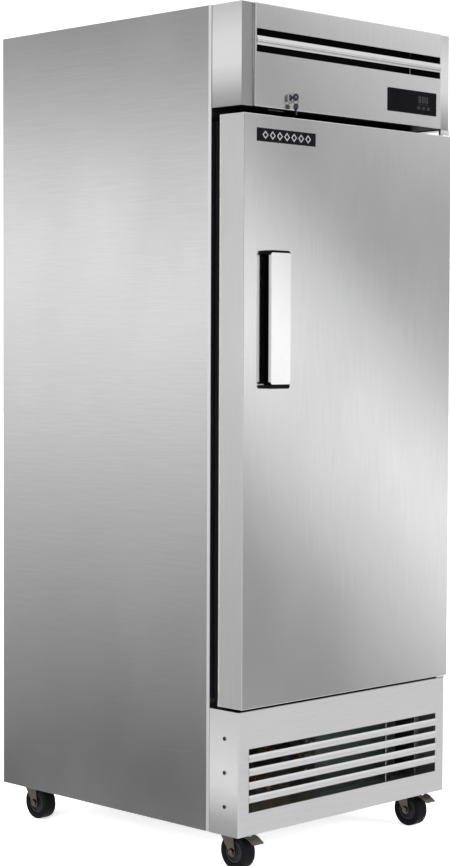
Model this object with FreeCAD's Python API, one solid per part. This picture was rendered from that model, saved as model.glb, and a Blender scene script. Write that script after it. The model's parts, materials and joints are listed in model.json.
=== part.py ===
import FreeCAD, Part
import math
import os

V = FreeCAD.Vector

# A one-door reach-in refrigerator on casters.  Millimetres, +Z up, the door faces -Y.
# It is drawn with y = 0 on the front plane of the header cheeks and z = 0 on the floor.
# Every piece is moved by FRONT_Y when it is written, which puts the origin at mid-depth.

# ------------------------------------------------------------------ overall sizes
WIDTH = 686.0
DEPTH = 787.0              # front of the header cheeks to the back
BODY_HEIGHT = 1760.0       # lower edge of the sides to the top
GROUND_CLEARANCE = 82.0    # floor to the lower edge of the sides
SHEET = 1.0                # stainless sheet
SEAM = 0.5                 # gap between sheets that only meet
INSULATION = 55.0
FRONT_BOX = 88.0           # depth of the header and grille boxes, to the cabinet face

# ------------------------------------------------------------------ front, bottom to top
GRILLE_HEIGHT = 267.5
GAP_UNDER_DOOR = 6.0
GAP_OVER_DOOR = 15.0
HEADER_HEIGHT = 217.0
HEADER_PROUD = 6.0         # the header's middle stands out from its side strips
HEADER_STRIP = 36.0

# ------------------------------------------------------------------ vent slots
HEADER_SLOTS = 2
HEADER_SLOT = 15.5
HEADER_SLOT_PITCH = 33.5
HEADER_SLOT_TOP = 54.0     # top of the body to the first slot
HEADER_SLOT_MARGIN = 39.0  # body side to the slots' ends
GRILLE_SLOTS = 4
GRILLE_SLOT = 13.5
GRILLE_SLOT_PITCH = 29.0
GRILLE_SLOT_TOP = 81.0     # top of the grille panel to the first slot
LAST_SLOT = 21.0           # the lowest slot is taller
GRILLE_SLOT_MARGIN = 31.0
SLAT_CROWN = 3.0           # how far a slat bulges forward
BACK_SLOTS = 7
BACK_SLOT = 8.0
BACK_SLOT_PITCH = 22.0
BACK_SLOT_LOW = 30.0       # floor pan to the first slot in the back
BACK_SLOT_X = (-70.0, 190.0)
STRUT_X = 137.0            # upright behind the slats
STRUT = 5.0
STRUT_LAP = 12.0           # above the top slot
STRUT_LOW = 30.0           # above the lower edge of the body
STRIP_LAP = 12.0           # header strip behind the raised middle

# ------------------------------------------------------------------ door
DOOR_PROUD = 8.0
DOOR_THICK = 71.0
DOOR_SKIN = 1.0
DOOR_BACK = 2.0            # inner panel
DYKE_DEPTH = 16.0          # raised middle of the inner panel
DYKE_CLEARANCE = 10.0
DYKE_CORNER = 5.0
SEAL_INSET = 12.0
SEAL_WIDTH = 24.0
SEAL_CLEARANCE = 0.4
SEAL_LAND = 10.0           # from the seal's inner edge to the opening
FACE_FLANGE = 24.0
BREAKER = 12.0             # plastic frame around the opening
SOFFIT_DEPTH = 57.0

# ------------------------------------------------------------------ hinge
HINGE_INSET_X = 14.0
HINGE_INSET_Y = 20.0       # behind the door's front
HINGE_PIN = 5.0
HINGE_PIN_LENGTH = 15.0
HINGE_RUNNING = 0.05
HINGE_PLATE = 3.0
HINGE_WIDTH = 30.0
HINGE_LIP = 2.0
BUSH_WALL = 3.0
BUSH_LENGTH = 18.0
END_PLAY = 0.4

# ------------------------------------------------------------------ handle and badge
HANDLE_LEFT = 62.5         # door edge to the handle
HANDLE_WIDTH = 60.0
HANDLE_DROP = 285.0        # top of the door to the handle
HANDLE_HEIGHT = 292.0
HANDLE_PROUD = 22.0
HANDLE_CAP = 8.0
HANDLE_CORNER = 5.0
HANDLE_WALL = 2.5
HANDLE_POCKET = 14.0
GRIP_SHEET = 2.0
GRIP_LIP = 6.0
BADGE_LEFT = 40.0
BADGE_DROP = 29.0          # top of the door to the badge
BADGE_WIDTH = 180.0
BADGE_HEIGHT = 28.0
BADGE_THICK = 1.5

# ------------------------------------------------------------------ controller and lock
CONTROL_RIGHT = 55.0       # body side to the controller
CONTROL_LOW = 27.0         # header's lower edge to the controller
CONTROL_WIDTH = 169.0
CONTROL_HEIGHT = 52.0
CONTROL_DEPTH = 45.0
BEZEL = 3.0
BEZEL_PROUD = 2.0
LENS = 1.5
BUTTON_NAMES = ("set", "up", "down")
BUTTON_WIDTH = 11.0
BUTTON_HEIGHT = 7.0
BUTTON_PITCH = 17.0
BUTTON_TRAVEL = 1.2
BUTTON_GAP = 0.3
BUTTON_CORNER = 2.0
BUTTON_STEM = 3.0          # behind the lens
BUTTON_RIGHT = 30.0        # controller's right edge to the last button
BUTTON_LOW = 14.0
LOCK_LEFT = 147.0
LOCK_ABOVE = 27.0
LOCK_PLUG = 8.0
LOCK_RUNNING = 0.05
LOCK_FLANGE = 13.0
LOCK_BARREL = 11.0
LOCK_LENGTH = 26.0
CAM_LENGTH = 50.0
CAM_WIDTH = 13.0
CAM_THICK = 2.5
CAM_CLEARANCE = 2.0
CAM_NUT = 3.0
CAM_CORNER = 4.0
KEY_THICK = 2.0
KEY_BOW = 8.0
KEY_EYE = 2.6
KEY_BLADE = 6.0
KEY_REACH = 20.0           # blade inside the plug
KEY_STANDOFF = 1.5         # lock flange to the bow
RING_RADIUS = 7.0
RING_WIRE = 0.7
RING_PLAY = 0.3
SPARE_EYE = 1.3
SPARE_RIM = 1.0
SPARE_BLADE = 17.0

# ------------------------------------------------------------------ casters
WHEEL_DIAMETER = 76.0
WHEEL_WIDTH = 30.0
HUB_RADIUS = 25.0
AXLE = 4.0
AXLE_RUNNING = 0.05
CASTER_TRAIL = 28.0        # kingpin to axle
CASTER_INSET_X = 54.0
CASTER_FRONT_Y = 82.0
CASTER_BACK_INSET = 45.0
FORK_SHEET = 3.0
FORK_GAP = 2.0             # tyre to fork, each side
FORK_TOP = 91.0
KINGPIN = 8.0
KINGPIN_RUNNING = 0.05
KINGPIN_HEAD = 11.0
KINGPIN_HEAD_HEIGHT = 3.0
CASTER_BOSS = 18.0
CASTER_CORNER = 6.0
AXLE_NUT = 4.0
AXLE_NUT_WALL = 3.0
AXLE_EYE = 10.0            # rounded end of the fork
FORK_REAR = 20.0           # behind the kingpin
FORK_FRONT = -14.0
TYRE_ROUND = 5.0
PEDAL_HUB_WALL = 2.0
PEDAL_HOLE_Y = -58.0
CASTER_PLATE = 4.0
CASTER_PLATE_HALF = 33.0
CASTER_PLATE_TOP = 102.0
CASTER_BOLT_PITCH = 46.0
PEDAL_PIVOT_Y = -22.0
PEDAL_PIVOT_Z = 84.0
PEDAL_PIN = 2.5
PEDAL_SHEET = 2.5
PEDAL_HOLE = 8.0

# ------------------------------------------------------------------ shelves
SHELF_COUNT = 3
SHELF_FIRST = 260.0        # above the liner's floor
SHELF_TOP_ROOM = 302.5     # top shelf to the opening's head
SHELF_WIRE = 3.0
SHELF_RODS = 22
SHELF_FRONT_GAP = 35.0
SHELF_BACK_GAP = 30.0
RAIL_DEPTH = 4.0
RAIL_WIDTH = 16.0
RAIL_MARGIN = 40.0
CLIP = 9.0
CLIP_REACH = 14.0
SHELF_PLAY = 2.0
RAIL_INSET = 30.0          # shelf end to the rail's middle
LAMP_HALF = 90.0
LAMP_DEPTH = 26.0
LAMP_HEIGHT = 14.0
LAMP_BACK = 8.0
LAMP_CORNER = 5.0

# ------------------------------------------------------------------ screws and brackets
SCREW_SHANK = 2.0
SCREW_HEAD = 4.5
SCREW_HEAD_HEIGHT = 1.6
SCREW_LENGTH = 9.0
BRACKET = 2.0
BRACKET_INSET = 14.0
SCREW_Y = 42.0             # behind the front plane
SCREW_TOP = 60.0           # below the top of the grille box
SCREW_PITCH = 73.0
SCREW_ROWS = 3
BOLT = 4.0
BOLT_HEAD = 6.5

# ------------------------------------------------------------------ cooling
PAN_SHEET = 2.5
COIL_FIN = 2.0
COIL_TUBES = 4
COIL_TUBE = 6.0
COIL_BEND = 8.0            # tube ends past the outer fins
COIL_DEPTH = 60.0
EVAPORATOR_FINS = 24
CONDENSER_FINS = 24
FAN_RUNNING = 0.05
FAN_SHAFT = 4.0
CONDENSER_FAN = 88.0
EVAPORATOR_FAN = 62.0
TIP_CLEARANCE = 4.0
FAN_BLADES = 5
FAN_HUB_HALF = 10.0
FAN_PITCH = 28.0           # degrees
MOTOR_BACK = 26.0          # fan's middle to its motor
MOTOR_ARM = 4.0
MOTOR_ARM_HALF = 6.0
MOTOR_LEG = 3.0
PIPE = 5.0
DISCHARGE_PIPE = 4.0
DRIER_RADIUS = 12.0
DRIER_LENGTH = 100.0
COMPRESSOR_DOME = 26.0     # rounding of the shell's ends
COMPRESSOR_FOOT = (95.0, 62.0)
MOUNT_HEIGHT = 14.0
MOUNT_RADIUS = 11.0
MOUNT_INSET = 14.0
TERMINAL_REACH = 26.0
DRAIN_X = (50.0, 290.0)
DRAIN_Y = (470.0, 700.0)
DRAIN_HEIGHT = 45.0
DRAIN_WALL = 2.0
ELECTRICAL_X = (-310.0, -190.0)
ELECTRICAL_Y = (140.0, 250.0)
ELECTRICAL_HEIGHT = 90.0
ELECTRICAL_CORNER = 4.0

# ------------------------------------------------------------------ places that follow
HALF = WIDTH / 2
BASE = GROUND_CLEARANCE
TOP = BASE + BODY_HEIGHT
GRILLE_TOP = BASE + GRILLE_HEIGHT
DOOR_LOW = GRILLE_TOP + GAP_UNDER_DOOR
HEADER_LOW = TOP - HEADER_HEIGHT
DOOR_HIGH = HEADER_LOW - GAP_OVER_DOOR
DOOR_FRONT = -DOOR_PROUD
DOOR_REAR = DOOR_FRONT + DOOR_THICK
SEAL_REAR = FRONT_BOX - SEAL_CLEARANCE
SEAL_INNER = SEAL_INSET + SEAL_WIDTH
OPEN_HALF = HALF - 2 * SHEET - INSULATION
OPEN_LOW = DOOR_LOW + SEAL_INNER + SEAL_LAND
OPEN_HIGH = DOOR_HIGH - SEAL_INNER - SEAL_LAND
SHELF_PITCH = (OPEN_HIGH - OPEN_LOW - SHELF_FIRST - SHELF_TOP_ROOM) / (SHELF_COUNT - 1)
LINER_FRONT = FRONT_BOX + BREAKER
LINER_BACK = DEPTH - 2 * SHEET - INSULATION
UPPER_FRONT = FRONT_BOX + SOFFIT_DEPTH
CEILING = TOP - 2 * SHEET - INSULATION
HANDLE_FRONT = DOOR_FRONT - HANDLE_PROUD
FRONT_Y = -(DEPTH + HANDLE_FRONT) / 2
HINGE_X = HALF - HINGE_INSET_X
HINGE_Y = DOOR_FRONT + HINGE_INSET_Y
LOCK_X = -HALF + LOCK_LEFT
LOCK_Z = HEADER_LOW + LOCK_ABOVE
HEADER_FACE = -HEADER_PROUD
CAM_Y = HEADER_FACE + LOCK_LENGTH
KEY_Y = HEADER_FACE - BEZEL - KEY_BOW - KEY_STANDOFF
CONTROL_X = HALF - CONTROL_RIGHT - CONTROL_WIDTH / 2
CONTROL_Z = HEADER_LOW + CONTROL_LOW + CONTROL_HEIGHT / 2
WHEEL_RADIUS = WHEEL_DIAMETER / 2
FORK_INSIDE = WHEEL_WIDTH / 2 + FORK_GAP
FORK_OUTSIDE = FORK_INSIDE + FORK_SHEET
PAN_LOW = CASTER_PLATE_TOP
PAN_HIGH = PAN_LOW + PAN_SHEET
CASTER_X = HALF - CASTER_INSET_X
CASTER_BACK_Y = DEPTH - CASTER_BACK_INSET
CASTERS = {
    "front_left": (-CASTER_X, CASTER_FRONT_Y),
    "front_right": (CASTER_X, CASTER_FRONT_Y),
    "back_left": (-CASTER_X, CASTER_BACK_Y),
    "back_right": (CASTER_X, CASTER_BACK_Y),
}
HEADER_SLATS_HIGH = TOP - HEADER_SLOT_TOP
GRILLE_SLATS_HIGH = GRILLE_TOP - GRILLE_SLOT_TOP
CONDENSER_X = (20.0, 300.0)
CONDENSER_Y = (112.0, 156.0)
CONDENSER_Z = (PAN_HIGH, PAN_HIGH + 200.0)
CONDENSER_FAN_X = (CONDENSER_X[0] + CONDENSER_X[1]) / 2
CONDENSER_FAN_Y = CONDENSER_Y[1] + 30.0
CONDENSER_FAN_Z = (CONDENSER_Z[0] + CONDENSER_Z[1]) / 2
COOLER_X = 230.0
COOLER_Y = (UPPER_FRONT + 60.0, UPPER_FRONT + 380.0)
COOLER_Z = (OPEN_HIGH + 20.0, CEILING)
COOLER_SHEET = 1.5
EVAPORATOR_FAN_Y = COOLER_Y[0] + 24.0
EVAPORATOR_FAN_Z = (COOLER_Z[0] + COOLER_Z[1]) / 2
SUCTION_X = -120.0
SUCTION_Y = DEPTH - SHEET - INSULATION / 2
COMPRESSOR_X = -120.0
COMPRESSOR_Y = 560.0
COMPRESSOR_RADIUS = 78.0
COMPRESSOR_HEIGHT = 170.0
INLET_X = -230.0
INLET_Z = BASE + 150.0
INLET_SIZE = (48.0, 27.0, 22.0)
INLET_WALL = 4.0
INLET_PIN_PITCH = 10.0


# ------------------------------------------------------------------ shape helpers
def block(x, y, z):
    """A box between the two values given for each of x, y and z."""
    return Part.makeBox(x[1] - x[0], y[1] - y[0], z[1] - z[0], V(x[0], y[0], z[0]))


def rod(start, end, radius):
    start, end = V(*start), V(*end)
    return Part.makeCylinder(radius, (end - start).Length, start, end - start)


def tube(start, end, outer, inner):
    return rod(start, end, outer).cut(rod(start, end, inner))


def round_edges(shape, radius, direction):
    """Fillet the straight edges that run along one direction."""
    edges = []
    for edge in shape.Edges:
        if isinstance(edge.Curve, Part.Line) and edge.Curve.Direction.cross(V(*direction)).Length < 1e-6:
            edges.append(edge)
    return shape.makeFillet(radius, edges)


def plate_from(points, along, thickness):
    """A flat plate: a closed outline of points, pushed out by thickness along one axis."""
    wire = Part.makePolygon([V(*p) for p in points + points[:1]])
    return Part.Face(wire).extrude(V(*along) * thickness)


def mirrored(shape):
    return shape.mirror(V(0, 0, 0), V(1, 0, 0))


def pair(shape):
    return [shape, mirrored(shape)]


def fuse(shapes):
    return shapes[0].multiFuse(shapes[1:]).removeSplitter()


def shell(x, y, z, wall, open_side):
    """A box of sheet, open on one side: 'front', 'back' or 'top'."""
    front = y[0] if open_side == "front" else y[0] + wall
    back = y[1] if open_side == "back" else y[1] - wall
    top = z[1] if open_side == "top" else z[1] - wall
    inner_y = (front, back)
    inner_z = (z[0] + wall, top)
    return block(x, y, z).cut(block((x[0] + wall, x[1] - wall), inner_y, inner_z))


def save(name, shapes):
    """Write a sub-part, one piece or a group of separate pieces, in the object's own frame."""
    shapes = shapes if isinstance(shapes, list) else [shapes]
    solids = [solid for shape in shapes for solid in shape.Solids]
    placed = [solid.translated(V(0, FRONT_Y, 0)) for solid in solids]
    whole = placed[0] if len(placed) == 1 else Part.makeCompound(placed)
    whole.exportStep(f"parts/{name}.step")
    print(f"{name}: {len(placed)} solid(s), {sum(s.Volume for s in placed) / 1000:.1f} cm3")


# ------------------------------------------------------------------ cabinet shell
def side_panel():
    """The right-hand outer side, with a flange turned in beside the door opening."""
    sheet = block((HALF - SHEET, HALF), (FRONT_BOX, DEPTH), (BASE, TOP))
    flange = block((HALF - FACE_FLANGE, HALF), (FRONT_BOX, FRONT_BOX + SHEET), (GRILLE_TOP, TOP))
    return fuse([sheet, flange])


def back_panel():
    """The back sheet, with air slots low down and a hole for the power inlet."""
    inside = HALF - SHEET
    panel = block((-inside, inside), (DEPTH - SHEET, DEPTH), (BASE, TOP))
    for i in range(BACK_SLOTS):
        low = PAN_HIGH + BACK_SLOT_LOW + i * BACK_SLOT_PITCH
        slot = block(BACK_SLOT_X, (DEPTH - 2 * SHEET, DEPTH + SHEET), (low, low + BACK_SLOT))
        panel = panel.cut(slot)
    return panel.cut(inlet_body())


def top_panel():
    inside = HALF - SHEET
    return block((-inside, inside), (FRONT_BOX + SHEET, DEPTH - SHEET), (TOP - SHEET, TOP))


def cavity():
    """The room taken by the liner and the cold space, for the foam to leave open."""
    side = OPEN_HALF + SHEET
    lower = block((-side, side), (FRONT_BOX, LINER_BACK + SHEET), (OPEN_LOW - SHEET, OPEN_HIGH + SHEET))
    upper = block((-side, side), (UPPER_FRONT - SHEET, LINER_BACK + SHEET), (OPEN_HIGH, CEILING + SHEET))
    return fuse([lower, upper])


def suction_run():
    """The straight runs of the suction pipe, up inside the back wall and into the cold space."""
    low = (SUCTION_X, SUCTION_Y, PAN_HIGH + COMPRESSOR_HEIGHT / 2)
    high = (SUCTION_X, SUCTION_Y, EVAPORATOR_FAN_Z)
    into = (SUCTION_X, COOLER_Y[1], EVAPORATOR_FAN_Z)
    shell = (SUCTION_X, COMPRESSOR_Y, PAN_HIGH + COMPRESSOR_HEIGHT / 2)
    return [(shell, low), (low, high), (high, into)]


def pipe_along(runs, radius):
    """Pipes along straight runs, with a ball at each bend so that they join smoothly."""
    shapes = [rod(a, b, radius) for a, b in runs]
    shapes += [Part.makeSphere(radius, V(*b)) for _, b in runs[:-1]]
    return fuse(shapes)


def insulation_foam():
    inside = HALF - SHEET
    foam = block((-inside, inside), (FRONT_BOX + SHEET, DEPTH - SHEET), (GRILLE_TOP, TOP - SHEET))
    frame_half = HALF - FACE_FLANGE
    frame_room = block((-frame_half, frame_half), (FRONT_BOX, LINER_FRONT), (GRILLE_TOP, HEADER_LOW))
    foam = foam.cut(frame_room).cut(cavity())
    return foam.cut(pipe_along(suction_run(), PIPE))


def inner_liner():
    """Seven sheets that line the cold space, riveted at their corners."""
    side_low = block((OPEN_HALF, OPEN_HALF + SHEET), (LINER_FRONT, LINER_BACK + SHEET),
                     (OPEN_LOW - SHEET, OPEN_HIGH + SHEET))
    side_high = block((OPEN_HALF, OPEN_HALF + SHEET), (UPPER_FRONT - SHEET, LINER_BACK + SHEET),
                      (OPEN_HIGH, CEILING + SHEET))
    across = (-OPEN_HALF, OPEN_HALF)
    floor = block(across, (LINER_FRONT, LINER_BACK), (OPEN_LOW - SHEET, OPEN_LOW))
    back = block(across, (LINER_BACK, LINER_BACK + SHEET), (OPEN_LOW - SHEET, CEILING + SHEET))
    back = back.cut(pipe_along(suction_run(), PIPE))
    ceiling = block(across, (UPPER_FRONT, LINER_BACK), (CEILING, CEILING + SHEET))
    front = block(across, (UPPER_FRONT - SHEET, UPPER_FRONT), (OPEN_HIGH + SHEET, CEILING + SHEET))
    soffit = block(across, (LINER_FRONT, UPPER_FRONT), (OPEN_HIGH, OPEN_HIGH + SHEET))
    return pair(fuse([side_low, side_high])) + [floor, back, ceiling, front, soffit]


def breaker_frame():
    """Four plastic bars round the opening, which stop cold from reaching the outer sheet."""
    frame_half = HALF - FACE_FLANGE
    depth = (FRONT_BOX, LINER_FRONT)
    side = block((OPEN_HALF, frame_half), depth, (OPEN_LOW, OPEN_HIGH))
    sill = block((-frame_half, frame_half), depth, (GRILLE_TOP, OPEN_LOW))
    head = block((-frame_half, frame_half), depth, (OPEN_HIGH, HEADER_LOW))
    return pair(side) + [sill, head]


# ------------------------------------------------------------------ header and grille boxes
def louvred(sheet, x_half, face_y, high, slot, pitch, count, last):
    """Cut a window in a sheet and fill it with crowned slats, which leaves one slot between each."""
    slots_low = [high - slot - i * pitch for i in range(count)]
    if last:
        slots_low.append(slots_low[-1] - (pitch - slot) - last)
    window = block((-x_half, x_half), (face_y - 1, face_y + SHEET + 1), (slots_low[-1], high))
    sheet = sheet.cut(window)
    for i in range(len(slots_low) - 1):
        slat_high = slots_low[i]
        slat_low = slat_high - (pitch - slot)
        sheet = sheet.fuse(slat(x_half, face_y, slat_low, slat_high))
    return sheet.removeSplitter()


def slat(x_half, face_y, low, high):
    """A slat whose section is an arc that bulges forward, one sheet thick."""
    middle = (low + high) / 2
    x = -x_half
    front = Part.Arc(V(x, face_y, low), V(x, face_y - SLAT_CROWN, middle), V(x, face_y, high)).toShape()
    rear = Part.Arc(V(x, face_y + SHEET, high), V(x, face_y + SHEET - SLAT_CROWN, middle),
                    V(x, face_y + SHEET, low)).toShape()
    upper = Part.makeLine(V(x, face_y, high), V(x, face_y + SHEET, high))
    lower = Part.makeLine(V(x, face_y + SHEET, low), V(x, face_y, low))
    return Part.Face(Part.Wire([front, upper, rear, lower])).extrude(V(2 * x_half, 0, 0))


def header_panel():
    """The header's raised middle: a folded sheet with two slots and the controller and lock holes."""
    half = HALF - HEADER_STRIP
    rear = FRONT_BOX - SEAM
    face = block((-half, half), (HEADER_FACE, HEADER_FACE + SHEET), (HEADER_LOW, TOP))
    roof = block((-half, half), (HEADER_FACE, rear), (TOP - SHEET, TOP))
    floor = block((-half, half), (HEADER_FACE, rear), (HEADER_LOW, HEADER_LOW + SHEET))
    step = block((half - SHEET, half), (HEADER_FACE, 0), (HEADER_LOW, TOP))
    panel = fuse([face, roof, floor] + pair(step))
    panel = louvred(panel, HALF - HEADER_SLOT_MARGIN - SHEET, HEADER_FACE, HEADER_SLATS_HIGH,
                    HEADER_SLOT, HEADER_SLOT_PITCH, HEADER_SLOTS, 0)
    panel = panel.cut(controller_body())
    panel = panel.cut(rod((LOCK_X, HEADER_FACE - 1, LOCK_Z), (LOCK_X, SHEET, LOCK_Z), LOCK_BARREL))
    return panel.cut(cam_room(HEADER_LOW - 1, HEADER_LOW + SHEET + 1))


def header_cheeks():
    """The header's two sides, each with a strip across the front and a strip below."""
    side = block((HALF - SHEET, HALF), (0, FRONT_BOX - SEAM), (HEADER_LOW, TOP))
    strip = block((HALF - HEADER_STRIP - STRIP_LAP, HALF), (0, SHEET), (HEADER_LOW + SHEET, TOP - SHEET))
    under = block((HALF - HEADER_STRIP, HALF), (0, FRONT_BOX - SEAM), (HEADER_LOW, HEADER_LOW + SHEET))
    over = block((HALF - HEADER_STRIP, HALF), (0, FRONT_BOX - SEAM), (TOP - SHEET, TOP))
    return pair(fuse([side, strip, under, over]))


def header_baffle():
    """The sheet that closes the insulated front behind the header."""
    half = HALF - FACE_FLANGE
    return block((-half, half), (FRONT_BOX, FRONT_BOX + SHEET), (HEADER_LOW, TOP - SHEET))


def cheek_screws():
    """Places of the three screws on each side of the grille box."""
    return [(SCREW_Y, GRILLE_TOP - SCREW_TOP - i * SCREW_PITCH) for i in range(SCREW_ROWS)]


def screw_holes(radius):
    return [rod((-HALF - 1, y, z), (HALF + 1, y, z), radius) for y, z in cheek_screws()]


def grille_cheeks():
    """The two sides of the grille box, screwed to the base frame's uprights."""
    side = block((HALF - SHEET, HALF), (SHEET, FRONT_BOX - SEAM), (BASE, GRILLE_TOP))
    for hole in screw_holes(SCREW_SHANK):
        side = side.cut(hole)
    return pair(side)


def grille_panel():
    """The lower front: a sheet with five slots, a roof flange and an upright behind the slots."""
    inside = HALF - SHEET
    face = block((-HALF, HALF), (0, SHEET), (BASE, GRILLE_TOP))
    roof = block((-inside, inside), (0, FRONT_BOX - SEAM), (GRILLE_TOP - SHEET, GRILLE_TOP))
    panel = louvred(fuse([face, roof]), HALF - GRILLE_SLOT_MARGIN, 0.0, GRILLE_SLATS_HIGH,
                    GRILLE_SLOT, GRILLE_SLOT_PITCH, GRILLE_SLOTS, LAST_SLOT)
    strut = block((STRUT_X - STRUT / 2, STRUT_X + STRUT / 2), (SHEET / 2, SHEET + STRUT),
                  (BASE + STRUT_LOW, GRILLE_SLATS_HIGH + STRUT_LAP))
    return fuse([panel, strut])


def base_frame():
    """The floor pan that carries everything, with two uprights welded on for the grille box."""
    inside = HALF - SHEET
    pan = block((-inside, inside), (2 * SHEET, DEPTH - SHEET), (PAN_LOW, PAN_HIGH))
    upright = block((inside - BRACKET, inside), (BRACKET_INSET, FRONT_BOX - BRACKET_INSET),
                    (PAN_HIGH, GRILLE_TOP - 2 * SHEET))
    holes = fuse(screw_holes(SCREW_SHANK))
    for bolt in caster_bolts(False):
        pan = pan.cut(bolt)
    return [pan] + pair(upright.cut(holes))


def fasteners():
    """The six cheek screws and the sixteen caster bolts."""
    screws = []
    for y, z in cheek_screws():
        shank = rod((HALF - SCREW_LENGTH, y, z), (HALF, y, z), SCREW_SHANK)
        head = rod((HALF, y, z), (HALF + SCREW_HEAD_HEIGHT, y, z), SCREW_HEAD)
        screws += pair(fuse([shank, head]))
    return screws + caster_bolts(True)


def caster_bolts(whole):
    """Bolts through each caster plate and the pan, or only their shanks as holes."""
    bolts = []
    reach = CASTER_BOLT_PITCH / 2
    for x, y in CASTERS.values():
        for dx in (-reach, reach):
            for dy in (-reach, reach):
                low = CASTER_PLATE_TOP - CASTER_PLATE
                bolt = rod((x + dx, y + dy, low), (x + dx, y + dy, PAN_HIGH), BOLT)
                if whole:
                    head = rod((x + dx, y + dy, PAN_HIGH), (x + dx, y + dy, PAN_HIGH + BOLT), BOLT_HEAD)
                    bolt = fuse([bolt, head])
                bolts.append(bolt)
    return bolts


# ------------------------------------------------------------------ controller
def controller_body():
    """The outside of the case behind the panel, which the panel is cut for."""
    half = CONTROL_WIDTH / 2 - BEZEL
    tall = CONTROL_HEIGHT / 2 - BEZEL
    return block((CONTROL_X - half, CONTROL_X + half), (HEADER_FACE, HEADER_FACE + CONTROL_DEPTH),
                 (CONTROL_Z - tall, CONTROL_Z + tall))


def controller_case():
    """A plastic box with a bezel in front, open where the lens goes."""
    wide, tall = CONTROL_WIDTH / 2, CONTROL_HEIGHT / 2
    bezel = block((CONTROL_X - wide, CONTROL_X + wide), (HEADER_FACE - BEZEL_PROUD, HEADER_FACE),
                  (CONTROL_Z - tall, CONTROL_Z + tall))
    case = fuse([bezel, controller_body()])
    inner_wide, inner_tall = wide - 2 * BEZEL, tall - 2 * BEZEL
    room = block((CONTROL_X - inner_wide, CONTROL_X + inner_wide),
                 (HEADER_FACE - BEZEL_PROUD, HEADER_FACE + CONTROL_DEPTH - BEZEL),
                 (CONTROL_Z - inner_tall, CONTROL_Z + inner_tall))
    lens_room = block((CONTROL_X - wide + BEZEL, CONTROL_X + wide - BEZEL),
                      (HEADER_FACE - BEZEL_PROUD, HEADER_FACE - BEZEL_PROUD + LENS),
                      (CONTROL_Z - tall + BEZEL, CONTROL_Z + tall - BEZEL))
    return case.cut(room).cut(lens_room)


def button_places():
    last = CONTROL_X + CONTROL_WIDTH / 2 - BUTTON_RIGHT
    z = CONTROL_Z - CONTROL_HEIGHT / 2 + BUTTON_LOW
    return [(last - (len(BUTTON_NAMES) - 1 - i) * BUTTON_PITCH, z) for i in range(len(BUTTON_NAMES))]


def button(place, gap, front, rear):
    x, z = place
    wide, tall = BUTTON_WIDTH / 2 + gap, BUTTON_HEIGHT / 2 + gap
    cap = block((x - wide, x + wide), (front, rear), (z - tall, z + tall))
    return round_edges(cap, BUTTON_CORNER, (0, 1, 0))


def controller_lens():
    """The dark front plate, with a hole for each button."""
    wide, tall = CONTROL_WIDTH / 2 - BEZEL, CONTROL_HEIGHT / 2 - BEZEL
    front = HEADER_FACE - BEZEL_PROUD
    lens = block((CONTROL_X - wide, CONTROL_X + wide), (front, front + LENS),
                 (CONTROL_Z - tall, CONTROL_Z + tall))
    for place in button_places():
        lens = lens.cut(button(place, BUTTON_GAP, front - 1, front + LENS + 1))
    return lens


def button_cap(place):
    front = HEADER_FACE - BEZEL_PROUD - BUTTON_TRAVEL
    return button(place, 0.0, front, front + BUTTON_TRAVEL + LENS + BUTTON_STEM)


# ------------------------------------------------------------------ lock
def cam_room(low, high):
    """The slot that the cam sweeps as it turns down, between two heights below the lock."""
    reach = CAM_LENGTH + CAM_CLEARANCE
    drop = max(LOCK_Z - high, 0.0)
    left = math.sqrt(max(reach ** 2 - drop ** 2, 0.0))
    right = CAM_WIDTH / 2 + CAM_CLEARANCE
    depth = (CAM_Y - CAM_CLEARANCE, CAM_Y + CAM_THICK + CAM_CLEARANCE)
    return block((LOCK_X - left, LOCK_X + right), depth, (low, high))


def lock_housing():
    """The fixed barrel, with a flange in front of the header panel."""
    barrel = rod((LOCK_X, HEADER_FACE, LOCK_Z), (LOCK_X, CAM_Y - END_PLAY, LOCK_Z), LOCK_BARREL)
    flange = rod((LOCK_X, HEADER_FACE - BEZEL, LOCK_Z), (LOCK_X, HEADER_FACE, LOCK_Z), LOCK_FLANGE)
    bore = rod((LOCK_X, HEADER_FACE - BEZEL - 1, LOCK_Z), (LOCK_X, CAM_Y, LOCK_Z), LOCK_PLUG + LOCK_RUNNING)
    return fuse([barrel, flange]).cut(bore)


def key_slot():
    """Where the blade goes into the plug."""
    front = HEADER_FACE - BEZEL
    return block((LOCK_X - KEY_THICK / 2, LOCK_X + KEY_THICK / 2), (front, front + KEY_REACH),
                 (LOCK_Z - KEY_BLADE / 2, LOCK_Z + KEY_BLADE / 2))


def lock_plug():
    """The turning core and its cam, which lies level when unlocked and points down when locked."""
    core_rear = CAM_Y + CAM_THICK + CAM_NUT
    core = rod((LOCK_X, HEADER_FACE - BEZEL, LOCK_Z), (LOCK_X, core_rear, LOCK_Z), LOCK_PLUG)
    arm = block((LOCK_X - CAM_LENGTH + 1, LOCK_X), (CAM_Y, CAM_Y + CAM_THICK),
                (LOCK_Z - CAM_WIDTH / 2, LOCK_Z + CAM_WIDTH / 2))
    arm = round_edges(arm, CAM_CORNER, (0, 1, 0))
    return fuse([core, arm]).cut(key_slot())


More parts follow.
